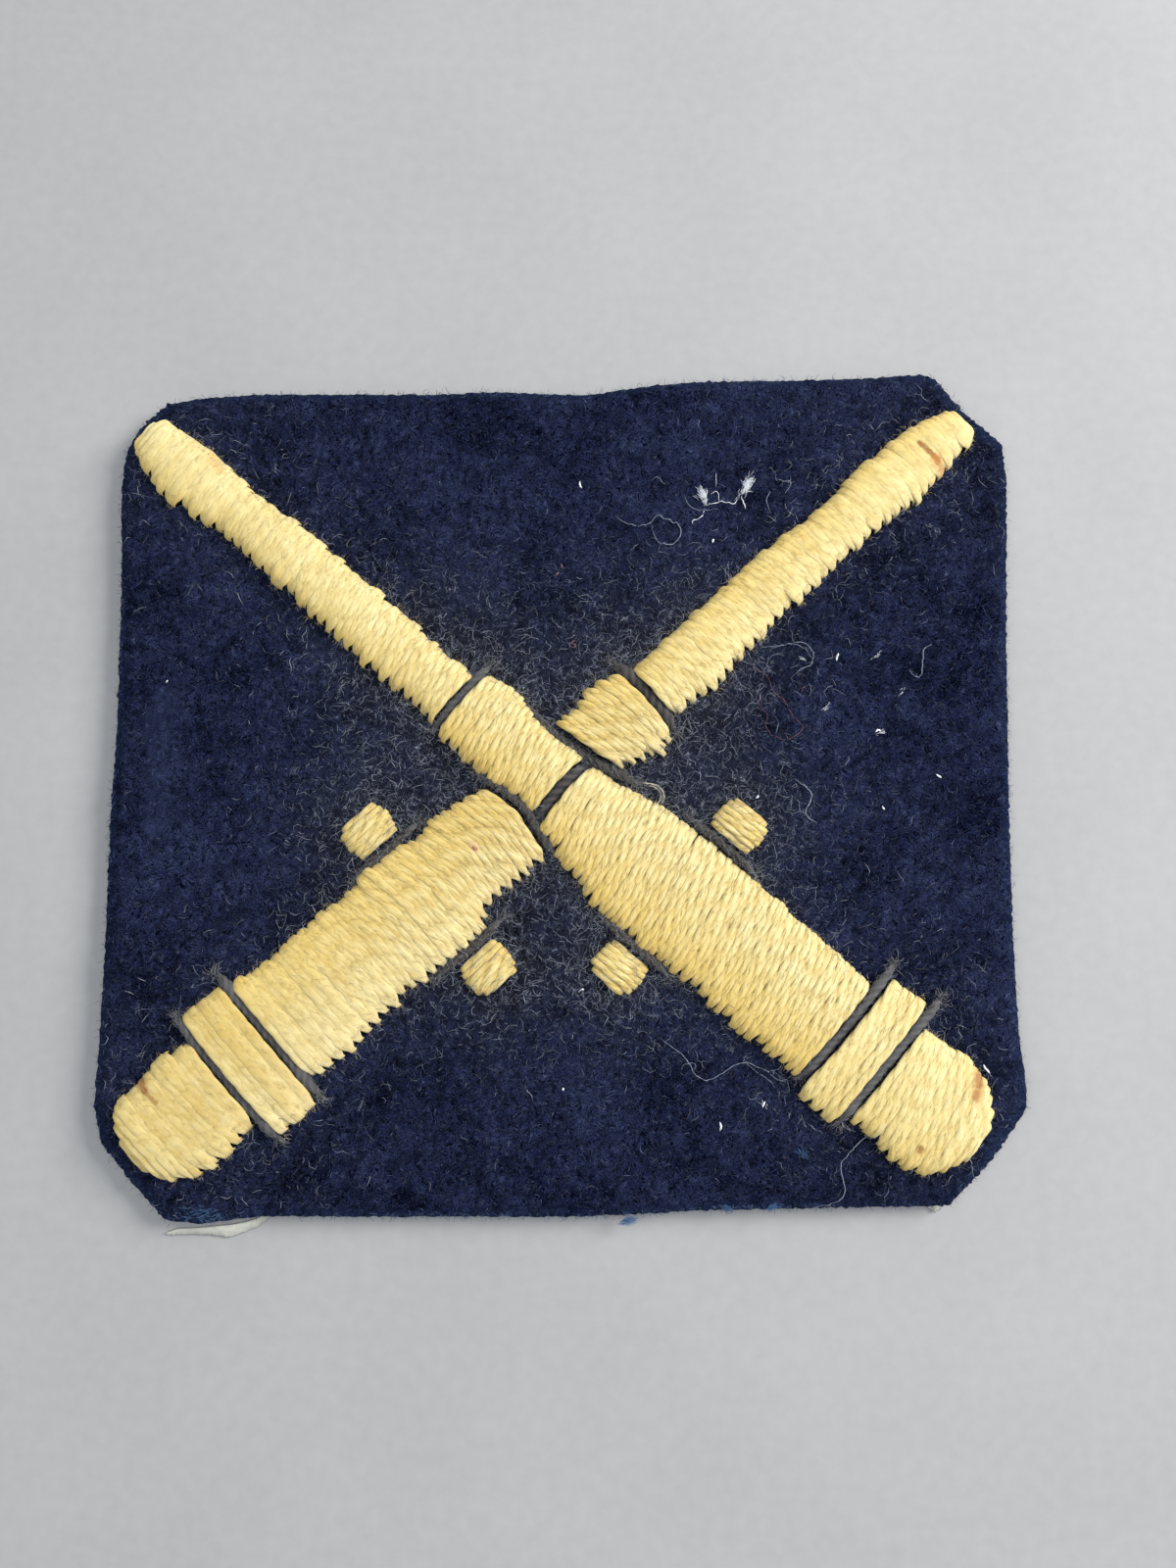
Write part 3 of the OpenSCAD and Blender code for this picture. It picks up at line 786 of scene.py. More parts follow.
def spun_yarn(rng, look, paths, t, half, near):
    """Two-ply yarn along each path, with what its finish reads.

    The ring's radius is the yarn's, less the groove between its plies, and the whole ring turns
    once in 3.7 mm. Grooves are shallower on top, where the thread is rubbed. A smooth pad's
    threads are broader and nearly square in section, so they lie like a ribbon."""
    count, rings = paths.shape[:2]
    smooth, faint = look.smooth, look.faint
    rough = 1 - 0.75 * smooth[..., 0]
    far = walked(paths)
    angle, crown, groove = yarn_ring()
    phase = np.cumsum(rng.normal(0.22, 0.12 + 0.6 * smooth[:, 0, 0] ** 2)) * np.pi
    turned = angle + (phase[:, None] - 2 * np.pi * far / PLY_TURN)[..., None]
    thin = 1 - look.pull[0] * near[0] - look.pull[1] * near[1]
    thick = ((1 + rough * rng.normal(0, 0.045, count)[:, None])
             * (1 + 0.05 * rough * drift(rng, count, rings, 7)))
    on_top = np.maximum(np.sin(turned), 0) ** 3.5
    beside = GROOVE_BESIDE * (1 - 0.55 * smooth)
    groove = groove * (beside + (GROOVE_ABOVE * (1 - smooth) - beside) * on_top)
    size = (thick * thin)[..., None] * (1 - groove)
    section = np.stack([np.cos(turned), np.sin(turned)])
    section = np.sign(section) * np.abs(section) ** (0.85 - 0.3 * smooth)
    aside = look.side * (1 + 0.45 * smooth) * size * section[0]
    points, faces = sweep(paths, aside, THREAD_UP * (1 - 0.45 * faint) * size * section[1])
    leaning = angle + (0.6 + 0.25 * smooth) * (turned - angle)
    number = np.arange(count)[:, None, None] * APART
    lay = np.stack(np.broadcast_arrays(far[..., None], leaning * THREAD_SIDE, number), -1)
    # Painted shade on a thread's sides where it meets its neighbours (rise), and in its ply grooves
    # (crown)
    lower_sides = 0.22 * (1 - 0.6 * faint) * np.clip(np.abs(aside) / (look.pitch / 2), 0, 1.3) ** 2
    values = {
        "tone": np.clip(look.bright + 0.12 * rng.normal(size=(count, 1, 1)), -0.5, 1),
        "rise": 1 - lower_sides,
        # Painted shade towards the edges, and painted highlight where the amount is below 0
        "foot": golden(rng, look, t, half, count),
        "crown": 1 - (1 - crown) * (1 - 0.85 * faint),
        "soft": faint,
    }
    values = {key: np.broadcast_to(value, turned.shape).ravel() for key, value in values.items()}
    return points, faces, {"lay": lay.reshape(-1, 3), **values}


# %% Core under the threads
CORE_AROUND = 15
CORE_STEP = 0.4


def satin_core(plan, look, top, axes):
    """The filling under the threads: the same arch, a thread's thickness lower, closed below.

    Its edges are drawn in by 0.3 mm and 1.6 times the unevenness of the threads there."""
    stations = max(int(plan.long / CORE_STEP), 6)
    f = np.linspace(0.2 / plan.long, 1 - 0.2 / plan.long, stations)
    t, u = arch_walk(4.0, 1.0, CORE_AROUND)
    inset = [0.3 + 1.6 * np.max(depth) for depth in look.depths]
    y = np.where(t > 0, t * (plan.edge_at(f, plan.upper)[:, None] - inset[0]),
                 -t * (plan.edge_at(f, plan.lower)[:, None] + inset[1]))
    height = STITCH_Z - 0.3 + u * (top - 0.08) * plan.end_rise(f)
    points = to_patch(plan.along(f[:, None], y), y, height, axes).reshape(-1, 3)
    # With a crown of 0 the core takes the full painted groove shade, and some painted edge shade
    plain = np.full(len(points), 0.3)
    values = {"lay": points, "tone": plain, "rise": plain, "foot": plain, "crown": plain * 0,
              "soft": plain}
    return points, turned_out(points, tube_faces(1, stations, CORE_AROUND)), values


# %% Satin pad
# Where the threads' backs and feet lie, for the loose fibres further on. Two rings at each end of
# a thread dive into the cloth. The foot is the next one, then comes the back, and a ring further
# in shows which way the foot points
FOOT_RING = 2
BACK_RING = 4
INNER_RING = 5
CROWNS = []
FEET = []


def satin(name, axes, start=None, end=None, skew=0.0, end_skew=(0.0, 0.0), **options):
    """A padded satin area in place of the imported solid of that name: threads over a core."""
    rng = dice(name)
    look = SimpleNamespace(**{**PLAIN_SATIN, **options})
    plan = PadPlan(name, axes, start, end, skew, end_skew)
    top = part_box(name)[1].z / MM - STITCH_Z - look.low
    count = int(round(plan.long / look.pitch))
    look.smooth, look.faint, look.bright = (
        first_to_last(value, count)[:, None, None]
        for value in (look.smooth, look.faint, look.bright))
    paths, t, half, near = thread_paths(rng, plan, look, top, axes)
    threads = spun_yarn(rng, look, paths, t, half, near)
    shells = [threads, satin_core(plan, look, top, axes)]
    piece = put_mesh(name + "_satin", *join(shells), GOLD_COTTON)
    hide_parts(name)
    backs = np.stack([paths + [0, 0, THREAD_UP], unit(np.gradient(paths, axis=1))], -2)
    CROWNS.append(backs[:, BACK_RING:-BACK_RING].reshape(-1, 2, 3))
    FEET.append(np.concatenate([paths[:, [-1 - INNER_RING, -1 - FOOT_RING]],
                                paths[:, [INNER_RING, FOOT_RING]]]))


print("threads per centimetre:", round(10 / THREAD_PITCH, 1))

# %% Stitch the barrels
BESIDE_CORD = 0.56
BESIDE_CROSSING = 0.42
BEFORE, BEHIND = -1, 1
OVER_SKEW = -0.06
UNDER_SKEW = 0.04


def beside(cord, axes, way, cord_axes=None, away=BESIDE_CORD):
    """The line that a pad keeps beside a cord: the cord's middle, moved along the pad's barrel.
    A cord that runs along the other barrel is read on that barrel's axes."""
    if cord_axes is None:
        line = cord_line(cord, axes, 1)
    else:
        line = cord_line(cord, cord_axes, 0)
        line = to_barrel(to_patch(line[:, 0], line[:, 1], 0.0, cord_axes), axes)
    line = line[np.argsort(line[:, 1])]
    return line + [way * away, 0]


POINTED = {"depths": (0.2, (0.28, 0.18)), "pull": (0.36, 0.48), "part": (0.6, 0.95),
           "deep": (1.0, -0.35), "bunches": (1, 2, 2, 2)}
ROUNDED = {"depths": (0.17, 0.26), "pull": (0.2, 0.4), "part": (0.5, 0.8), "bunches": (2, 2, 2, 3)}
satin("over_chase", OVER, None, beside("over_chase_cord", OVER, BEFORE), OVER_SKEW, (-0.03, 0.0),
      **ROUNDED, smooth=(0.8, 0.2), faint=(1.0, 0.3), deep=(0.1, 0.9), spill=(-0.3, 0.25))
satin("over_reinforce", OVER, beside("over_chase_cord", OVER, BEHIND),
      beside("over_body_cord", OVER, BEFORE), OVER_SKEW,
      smooth=0.05, deep=(0.1, 1.5), spill=(0.1, 0.15))
satin("over_body", OVER, beside("over_body_cord", OVER, BEHIND),
      beside("over_ring_cord_front", OVER, BEFORE), OVER_SKEW,
      deep=(0.0, 1.5), spill=(-0.25, 0.3))
satin("over_base_ring", OVER, beside("over_ring_cord_front", OVER, BEHIND),
      beside("over_ring_cord_rear", OVER, BEFORE), -0.02,
      depths=(0.12, 0.2), smooth=0.2, faint=0.2, deep=(0.1, 0.8))
satin("over_breech", OVER, beside("over_ring_cord_rear", OVER, BEHIND), None, -0.12, (0.0, -0.05),
      smooth=0.2, faint=0.3, deep=(0.1, 0.9), spill=(-0.3, 0.1))
satin("under_chase", UNDER, None, beside("under_chase_cord", UNDER, BEFORE), UNDER_SKEW,
      (0.03, 0.0), **ROUNDED, smooth=(0.9, 0.4), faint=(1.0, 0.4), bright=0.25, deep=(0.9, -0.2),
      spill=(-0.3, -0.2))
satin("under_reinforce", UNDER, beside("under_chase_cord", UNDER, BEHIND),
      beside("crossing_cord_upper", UNDER, BEFORE, OVER, BESIDE_CROSSING), UNDER_SKEW,
      **POINTED, smooth=(0.2, 0.0), faint=(0.1, 0.0), bright=(0.1, -0.1), spill=(0.0, 0.0),
      square=1.4)
satin("under_body", UNDER, beside("crossing_cord_lower", UNDER, BEHIND, OVER, BESIDE_CROSSING),
      beside("under_ring_cord_front", UNDER, BEFORE), UNDER_SKEW,
      **POINTED, smooth=(0.05, 0.9), faint=(0.0, 0.8), bright=(-0.15, 0.1), spill=(0.3, 0.0))
satin("under_base_ring", UNDER, beside("under_ring_cord_front", UNDER, BEHIND),
      beside("under_ring_cord_rear", UNDER, BEFORE), 0.02,
      depths=(0.08, 0.2), smooth=0.9, faint=0.8, bright=-0.25, deep=(0.5, -0.3))
satin("under_breech", UNDER, beside("under_ring_cord_rear", UNDER, BEHIND), None, 0.06, (0.0, 0.03),
      depths=(0.14, 0.24), pull=(0.25, 0.45), part=(0.6, 1.0), bunches=(2, 3, 3), smooth=0.9,
      faint=0.8, bright=-0.2, deep=(0.4, -0.1), spill=(-0.2, -0.2))

# %% [markdown]
# ## Trunnions
# A trunnion is the stub on which a cannon tips. Here it is a small satin square on each side of a
# barrel, with its five or six threads laid along the barrel instead of across it. The same
# function makes it, on axes that are turned a quarter.

# %% Stitch the trunnions
BARRELS = (("over", OVER), ("under", UNDER))
TRUNNION_AT = 13.4
TRUNNIONS = [(f"{barrel}_trunnion_{label}",
              (axes[0] + TRUNNION_AT * axes[1], way * axes[2], axes[1]))
             for barrel, axes in BARRELS for label, way in (("upper", 1), ("lower", -1))]
for name, turned in TRUNNIONS:
    satin(name, turned, depths=(0.15, 0.15), pull=(0.05, 0.05), deep=(0.7, 0.7), smooth=0.3,
          bright=0.3, spill=(-0.05, -0.05), pitch=0.5, side=0.3, low=0.2, corner=0.35)

# %% [markdown]
# ## Slate cords
# A thin dark cord is laid in each groove, and its ends sink into the nap and fray. It is a soft
# yarn of three plies, so its section has three lobes that turn as it goes. The same sweep makes
# it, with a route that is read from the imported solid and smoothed.

# %% Cord finish
SLATE_DARK = (0.014, 0.012, 0.011, 1)
SLATE = (0.078, 0.067, 0.058, 1)
SLATE_FADED = (0.165, 0.17, 0.18, 1)


def slate_cord():
    """Painted shade between the plies and lighter crowns, paler and greyer at the frayed ends, with
    a fibre bump.
    """
    material, tree, shader, _ = new_finish("slate cord")
    fibres = use_group(tree, GRAIN, {"Vector": attribute(tree, "lay", "Vector"),
                                     "Stretch": (2.0, 7.0, 1.0)})
    streaks = total(tree, (fibres["Mask"], 0.7), 0.4)
    # Painted shade between the plies, where the crown is low, and darker fibre streaks
    share = maths(tree, "MULTIPLY", attribute(tree, "crown"), streaks, clamp=True)
    colour = blend(tree, share, SLATE_DARK, SLATE)
    colour = blend(tree, attribute(tree, "tone"), colour, SLATE_FADED)
    wire(tree, shader, {
        "Base Color": colour, "Normal": bump(tree, fibres["Height"], 0.7, 0.06),
        "Roughness": 0.85, "Specular IOR Level": 0.25, "Sheen Weight": 0.08,
        "Sheen Roughness": 0.5, "Sheen Tint": (0.9, 0.9, 1.0, 1)})
    return material


SLATE_CORD = slate_cord()
print("nodes in the slate cord's finish:", len(SLATE_CORD.node_tree.nodes))

# %% Routes
def smooth_route(points, step):
    """A curve through the points: from one to the next it is the cubic whose slope at each is
    half the way between that point's neighbours. Read at even steps."""
    p = np.concatenate([[2 * points[0] - points[1]], points, [2 * points[-1] - points[-2]]])
    s = np.linspace(0, 1, 30, endpoint=False)[:, None, None]
    a, b, c, d = p[:-3], p[1:-2], p[2:-1], p[3:]
    curve = 0.5 * (2 * b + (c - a) * s + (2 * a - 5 * b + 4 * c - d) * s ** 2
                   + (3 * b - a - 3 * c + d) * s ** 3)
    curve = np.concatenate([curve.transpose(1, 0, 2).reshape(-1, p.shape[1]), points[-1:]])
    length = walked(curve[None])[0]
    even = np.linspace(0, length[-1], max(int(length[-1] / step), 4))
    return np.stack([np.interp(even, length, column) for column in curve.T], -1)


# %% Lay the cords
CORD_SIDE = 0.35
CORD_UP = 0.33
CORD_TURN = 2.4
CORD_AROUND = 14
CORD_STEP = 0.16
CORD_SINK = 1.5
CORD_THIN = 1.8
CORD_PATHS = []


def laid_cord(name, axes, sort_by, longer=(0.35, 0.35), thick=1.15, nearer=0.0, pale=0.0, worn=0.6):
    """A three-ply yarn along a cord's route.

    The ring's radius is 0.96 + 0.1 cos 3(angle - turn), a little lower than wide. Over its last
    millimetre and a half it sinks into the cloth and thins, and goes from pale to worn. A cord
    may be longer at each end, thicker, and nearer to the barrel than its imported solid."""
    rng = dice(name)
    line = cord_line(name, axes, sort_by)
    line = np.concatenate([line[:1] - unit(line[1:2] - line[:1]) * longer[0], line,
                           line[-1:] + unit(line[-1:] - line[-2:-1]) * longer[1]])
    line = smooth_route(line, CORD_STEP) - [0, nearer * np.sign(line[:, 1].mean())]
    rings = len(line)
    far = walked(line[None])[0]
    from_end = np.minimum(far, far[-1] - far)
    line = line + 0.04 * drift(rng, 2, rings, max(rings // 9, 2)).T
    height = FACE_Z - 0.25 + 0.55 * ease(from_end / CORD_SINK) + 0.02 * drift(rng, 1, rings, 6)[0]
    paths = to_patch(line[:, 0], line[:, 1], height, axes)[None]
    turn = (rng.uniform(0, 6) + 2 * np.pi * far / CORD_TURN)[None, :, None]
    round_it = circle(CORD_AROUND) - np.pi / 2
    lobes = np.cos(3 * (round_it - turn))
    swell = 1 + 0.1 * drift(rng, 1, rings, max(rings // 5, 2))[..., None]
    swell = swell + 0.045 * rng.normal(size=lobes.shape)
    whole = ease(from_end / CORD_THIN)[None, :, None]
    size = thick * (0.96 + 0.1 * lobes) * swell * (0.3 + 0.7 * whole)
    points, faces = sweep(paths, CORD_SIDE * size * np.cos(round_it),
                          CORD_UP * size * np.sin(round_it))
    lay = np.stack(np.broadcast_arrays(far[None, :, None], (round_it - turn) * CORD_SIDE, 0.0), -1)
    faded = pale + (worn - pale) * (1 - whole)
    # The crown sets the painted shade between the plies in the finish
    values = {"lay": lay.reshape(-1, 3), "tone": np.broadcast_to(faded, lobes.shape).ravel(),
              "crown": (0.5 + 0.5 * lobes).ravel()}
    piece = put_mesh(name + "_yarn", points, faces, values, SLATE_CORD)
    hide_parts(name)
    CORD_PATHS.append(paths[0])


laid_cord("over_chase_cord", OVER, 1, thick=1.2, pale=0.3)
laid_cord("over_body_cord", OVER, 1, thick=1.4, pale=0.1)
for name in ("over_ring_cord_front", "over_ring_cord_rear"):
    laid_cord(name, OVER, 1, thick=1.15, pale=0.42)
laid_cord("under_chase_cord", UNDER, 1, longer=(0.35, 0.6), thick=1.5, pale=0.1, worn=0.05)
for name in ("under_ring_cord_front", "under_ring_cord_rear"):
    laid_cord(name, UNDER, 1, thick=1.25, pale=0.35, worn=0.3)
for name in ("crossing_cord_upper", "crossing_cord_lower"):
    laid_cord(name, OVER, 0, longer=(0.2, -0.5), thick=1.0, nearer=0.33, pale=0.05)
for barrel, axes in BARRELS:
    for label in ("upper", "lower"):
        laid_cord(f"{barrel}_trunnion_cord_{label}", axes, 0, longer=(0.2, 0.2), thick=0.9,
                  nearer=0.2)
print("cords laid:", len(CORD_PATHS))

# %% [markdown]
# ## Wool cloth
# The ground is a thick fulled wool, cut by hand to a square with clipped corners. Its face is
# felted and mottled, sinks a little beside the stitches, and its cut edge is soft, ragged and
# bluer than the worn face. One grid is stretched to the outline, and noise of the size of the nap
# moves it up and down. The wall and the back close it, so the cloth is a true sheet.

# %% Wool finish
NAVY_DEEP = (0.0004, 0.0009, 0.0060, 1)
NAVY = (0.0078, 0.0120, 0.0430, 1)
NAVY_FIBRE = (0.055, 0.074, 0.165, 1)
SPARKLE = (0.36, 0.40, 0.50, 1)
NAVY_RIM = (0.018, 0.034, 0.090, 1)
DUSTY = (0.0210, 0.0215, 0.0290, 1)


def thin_line(tree, value, width):
    """1 where a noise passes its middle value, fading to 0 at a width from it."""
    middle = maths(tree, "ABSOLUTE", total(tree, value, -0.5))
    return maths(tree, "SUBTRACT", 1.0, spread(tree, middle, 0.0, width))


def navy_wool():
    """Mottled navy, darker in painted shade where the nap bump is low, with curled lighter fibres,
    dustier beside the stitches, a bluer cut edge, one pale crease and a nap bump.

    Coarse noise shifts the place before fine noise is read, which draws the fine noise out into
    curls. A fibre is a thin line where that noise passes its middle value. A few are pale, and
    more of them beside the stitches."""
    material, tree, shader, place = new_finish("navy wool")
    near = attribute(tree, "near")
    wide = use_group(tree, CLOUD, {"Vector": place, "Coarse": 150.0, "Fine": 700.0})["Mask"]
    bend = noise(tree, place, 650.0, 1.0, output="Color")
    shift = scaled(tree, vector_maths(tree, "SUBTRACT", bend, (0.5, 0.5, 0.5)), 3.2 * MM)
    bent = vector_maths(tree, "ADD", place, shift)
    curls = noise(tree, bent, 3300.0, 3.0, 0.65)
    line = thin_line(tree, curls, 0.075)
    # Partly painted shade: the pile is darkest where the curls, and so the bump, are low; the rest
    # is the wool's own mottle
    pile = total(tree, (spread(tree, curls, 0.36, 0.64), 0.9), (wide, 0.45), -0.25, clamp=True)
    colour = blend(tree, pile, NAVY_DEEP, NAVY)
    colour = blend(tree, times(tree, times(tree, line, wide), 0.9), colour, NAVY_FIBRE)
    speck = spread(tree, noise(tree, place, 7500.0, 1.0), 0.55, 0.75)
    colour = blend(tree, times(tree, speck, 0.5), colour, NAVY_FIBRE)
    colour = blend(tree, times(tree, near, 0.95), colour, DUSTY)
    broken = spread(tree, noise(tree, place, 1700.0, 2.0), 0.5, 0.62)
    hair = times(tree, thin_line(tree, noise(tree, bent, 2300.0, 1.0), 0.035), broken)
    colour = blend(tree, times(tree, hair, total(tree, (near, 0.85), 0.1)), colour, SPARKLE)
    colour = blend(tree, times(tree, attribute(tree, "rim"), 0.45), colour, NAVY_RIM)
    crease = use_group(tree, STAIN, {
        "Vector": place, "Start": (-32.2 * MM, -4 * MM, FACE_Z * MM),
        "End": (-32.2 * MM, 6.5 * MM, FACE_Z * MM), "Reach": 1.6 * MM})["Mask"]
    colour = blend(tree, times(tree, crease, 0.2), colour, NAVY_FIBRE)
    wire(tree, shader, {
        "Base Color": colour, "Normal": bump(tree, total(tree, curls, (line, 0.25)), 1.0, 0.3),
        "Roughness": 0.95, "Specular IOR Level": 0.02})
    return material


NAVY_WOOL = navy_wool()
print("nodes in the wool's finish:", len(NAVY_WOOL.node_tree.nodes))

# %% Outline and pads on the cloth
def polar_outline(solid):
    """The cloth's outline as radius by angle: its foot corners by angle, each side cut in 40."""
    corners = feet(solid)[:, :2]
    corners = corners[np.argsort(np.arctan2(corners[:, 1], corners[:, 0]))]
    share = np.linspace(0, 1, 40, endpoint=False)[:, None]
    sides = corners[:, None] * (1 - share) + np.roll(corners, -1, 0)[:, None] * share
    points = sides.reshape(-1, 2)
    angle = np.arctan2(points[:, 1], points[:, 0])
    order = np.argsort(angle)
    return angle[order], np.linalg.norm(points, axis=1)[order], corners


EDGE_ANGLE, EDGE_RADIUS, CORNERS = polar_outline("ground_cloth")
PADS = [(f"{barrel}_{part}", axes) for barrel, axes in BARRELS
        for part in ("chase", "reinforce", "body", "base_ring", "breech")]
PAD_SHAPES = [(axes, *pad_edges(pad, axes)) for pad, axes in PADS + TRUNNIONS]


def edge_radius(angle):
    """How far the cloth reaches at an angle, read round the outline."""
    return np.interp(angle, EDGE_ANGLE, EDGE_RADIUS, period=2 * np.pi)


def gap_to_pads(points):
    """Distance from points on the cloth to the nearest pad, below 0 inside one: the largest of
    the gaps past its two ends and its two edges."""
    nearest = np.full(points.shape[:-1], 99.0)
    for axes, upper, lower in PAD_SHAPES:
        local = to_barrel(points, axes)
        x, y = local[..., 0], local[..., 1]
        gap = np.maximum(y - np.interp(x, upper[:, 0], upper[:, 1]),
                         np.interp(x, lower[:, 0], lower[:, 1]) - y)
        gap = np.maximum(gap, np.maximum(upper[0, 0] - x, x - upper[-1, 0]))
        nearest = np.minimum(nearest, gap)
    return nearest


def dustiness(points, reach):
    """How dusty the nap is: e^(-gap to the pads / reach), and less so far from the crossing."""
    outer = ease((np.linalg.norm(points - CROSSING, axis=-1) - 11) / 16)
    return np.exp(-np.maximum(gap_to_pads(points), 0) / reach) * (1 - 0.85 * outer)


# %% Face of the cloth
GRID = 240
HALF_SIDE = 36


def nap_relief(size, grain, rng):
    """Noise with waves near one length: white noise whose spectrum is multiplied by a bell."""
    white = np.fft.rfft2(rng.normal(size=(size, size)))
    wave = np.hypot(np.fft.fftfreq(size)[:, None], np.fft.rfftfreq(size)[None])
    relief = np.fft.irfft2(white * np.exp(-((wave - 1 / grain) * grain / 0.8) ** 2), s=(size, size))
    return relief / relief.std()


def square_reach(angle):
    """What a point of the unit square is multiplied by at an angle, so its rim is the outline."""
    return edge_radius(angle) * np.maximum(np.abs(np.cos(angle)), np.abs(np.sin(angle)))


rng = dice("ground_cloth")
axis = np.linspace(-1, 1, GRID + 1)
square_x, square_y = np.meshgrid(axis, axis, indexing="ij")
stretch = square_reach(np.arctan2(square_y, square_x))
cloth_x, cloth_y = square_x * stretch, square_y * stretch
from_rim = (1 - np.maximum(np.abs(square_x), np.abs(square_y))) * HALF_SIDE
relief = (0.1 * nap_relief(GRID + 1, 3.3, rng) + 0.08 * nap_relief(GRID + 1, 2.2, rng)
          + 0.05 * nap_relief(GRID + 1, 50, rng))
flat = np.stack([cloth_x, cloth_y], -1)
pucker = -0.16 * np.exp(-np.maximum(gap_to_pads(flat), 0) / 0.8)
CLOTH_H = FACE_Z - 0.05 + relief + pucker - 0.35 * (1 - ease(from_rim / 0.9))
face = np.stack([cloth_x, cloth_y, CLOTH_H], -1).reshape(-1, 3)
number = np.arange((GRID + 1) ** 2).reshape(GRID + 1, GRID + 1)
squares = np.stack([number[:-1, :-1], number[1:, :-1], number[1:, 1:], number[:-1, 1:]], -1)
print("face points:", len(face), "relief in mm:", round(float(np.ptp(relief)), 2))

# %% Wall and back of the cloth
# Rings below the face's rim: share of the outline's size, and height. The first four are the
# ragged cut
WALL = [(1.0035, 1.32), (1.004, 1.0), (1.002, 0.7), (0.998, 0.45), (0.985, 0.36), (0.9, 0.35),
        (0.7, 0.35), (0.4, 0.35), (0.12, 0.35)]
CUT_RINGS = 4
loop = np.concatenate([number[:-1, 0], number[-1, :-1], number[:0:-1, -1], number[0, :0:-1]])
ragged = 1 + 0.0012 * rng.normal(size=(len(WALL), len(loop)))
ragged[CUT_RINGS:] = 1
rings = [face[loop] * [s, s, 0] * ragged[k][:, None] + [0, 0, h] for k, (s, h) in enumerate(WALL)]
points = np.concatenate([face, *rings, [[0, 0, CLOTH_Z]]])
ring_ids = [loop] + [len(face) + k * len(loop) + np.arange(len(loop)) for k in range(len(WALL))]
walls = [np.stack([upper, lower, np.roll(lower, -1), np.roll(upper, -1)], -1)
         for upper, lower in zip(ring_ids[:-1], ring_ids[1:])]
pole = np.stack([ring_ids[-1], np.full(len(loop), len(points) - 1), np.roll(ring_ids[-1], -1)], -1)
below = len(points) - len(face)
values = {
    "rim": np.concatenate([1 - ease(from_rim.ravel() / 0.8), np.ones(CUT_RINGS * len(loop)),
                           np.zeros(below - CUT_RINGS * len(loop))]),
    "near": np.concatenate([dustiness(flat, 4.5).ravel(), np.zeros(below)]),
}
cloth = put_mesh("ground_cloth_wool", points, [squares.reshape(-1, 4), *walls, pole], values,
                 NAVY_WOOL)
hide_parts("ground_cloth")


def face_height(points):
    """Height of the cloth's face at places on it: the nearest point of its grid."""
    stretch = square_reach(np.arctan2(points[:, 1], points[:, 0]))
    at = np.clip(((points / stretch[:, None] + 1) / 2 * GRID).round().astype(int), 0, GRID)
    return CLOTH_H[at[:, 0], at[:, 1]]


# %% [markdown]
# ## Paper backing
# Thin off-white paper was laid under the cloth while it was stitched. Most of it was torn away:
# a crescent shows below the lower left edge, and a speck at the lower right. The sheet under the
# cloth is a flat disc of rings in the cloth's outline, and the torn tongue is a thin strip carried
# from its root to its tip.

# %% Paper finish
PAPER = (0.66, 0.645, 0.58, 1)
PAPER_SHADE = (0.43, 0.435, 0.38, 1)
PAPER_TORN = (0.27, 0.275, 0.25, 1)


def backing_paper():
    """Off-white with pulp blotches and short fibres, greyer where it is torn thin, with a bump."""
    material, tree, shader, place = new_finish("backing paper")
    pulp = use_group(tree, CLOUD, {"Vector": place, "Coarse": 260.0, "Fine": 1900.0})["Mask"]
    fibres = use_group(tree, GRAIN, {"Vector": place, "Stretch": (700.0, 2600.0, 700.0)})
    share = total(tree, (pulp, 0.6), (fibres["Mask"], 0.35), clamp=True)
    thin = spread(tree, total(tree, attribute(tree, "torn"), (fibres["Mask"], 0.5)), 0.55, 1.2)
    colour = blend(tree, times(tree, thin, 0.8), blend(tree, share, PAPER_SHADE, PAPER), PAPER_TORN)
    wire(tree, shader, {
        "Base Color": colour, "Normal": bump(tree, total(tree, pulp, fibres["Height"]), 0.6, 0.06),
        "Roughness": 0.8, "Specular IOR Level": 0.3})
    return material


BACKING_PAPER = backing_paper()
print("nodes in the paper's finish:", len(BACKING_PAPER.node_tree.nodes))

# %% Cut and tear the paper
PAPER_T = 0.27
PAPER_INSET = 0.6
STRIP_AROUND = 12
DISC_AROUND = 240
# Torn tongue, from its root to its tip: x, then the y of its outer and of its inner edge, in mm
TONGUE = np.array([(-21.8, -33.5, -32.6), (-22.6, -34.0, -33.4), (-23.4, -34.5, -33.95),
                   (-24.4, -35.0, -34.3), (-25.7, -35.4, -34.55), (-27.2, -35.28, -34.72),
                   (-28.6, -35.25, -34.82), (-29.7, -35.36, -34.86), (-30.3, -35.3, -34.97),
                   (-30.65, -35.2, -35.04)])
SCRAP = np.array([(28.3, -33.3, -32.0), (28.8, -33.55, -32.2), (29.3, -33.3, -32.4)])


def paper_strip(table, seed, curl):
    """A torn strip: at each place along it a flat ring from its inner to its outer edge.

    The ring is a thin ellipse. Its outer half is lifted by curl times the square of the share
    across, and both edges waver as torn paper does."""
    rng = dice(seed)
    way = smooth_route(table, 0.1)
    count = len(way)
    way[:, 1] += 0.05 * drift(rng, 1, count, 14)[0] + 0.035 * rng.normal(size=count)
    way[:, 2] += 0.04 * drift(rng, 1, count, 10)[0]
    round_it = circle(STRIP_AROUND)
    share = np.broadcast_to(0.5 - 0.5 * np.cos(round_it)[None], (count, STRIP_AROUND))
    y = way[:, 2:3] + (way[:, 1:2] - way[:, 2:3]) * share
    z = 0.15 + curl * share ** 2 + 0.04 * np.sin(round_it)[None] + 0.04 * drift(rng, 1, count, 7).T
    points = np.stack([np.broadcast_to(way[:, :1], y.shape), y, z], -1).reshape(-1, 3)
    faces = turned_out(points, tube_faces(1, count, STRIP_AROUND))
    return points, faces, {"torn": share.ravel()}


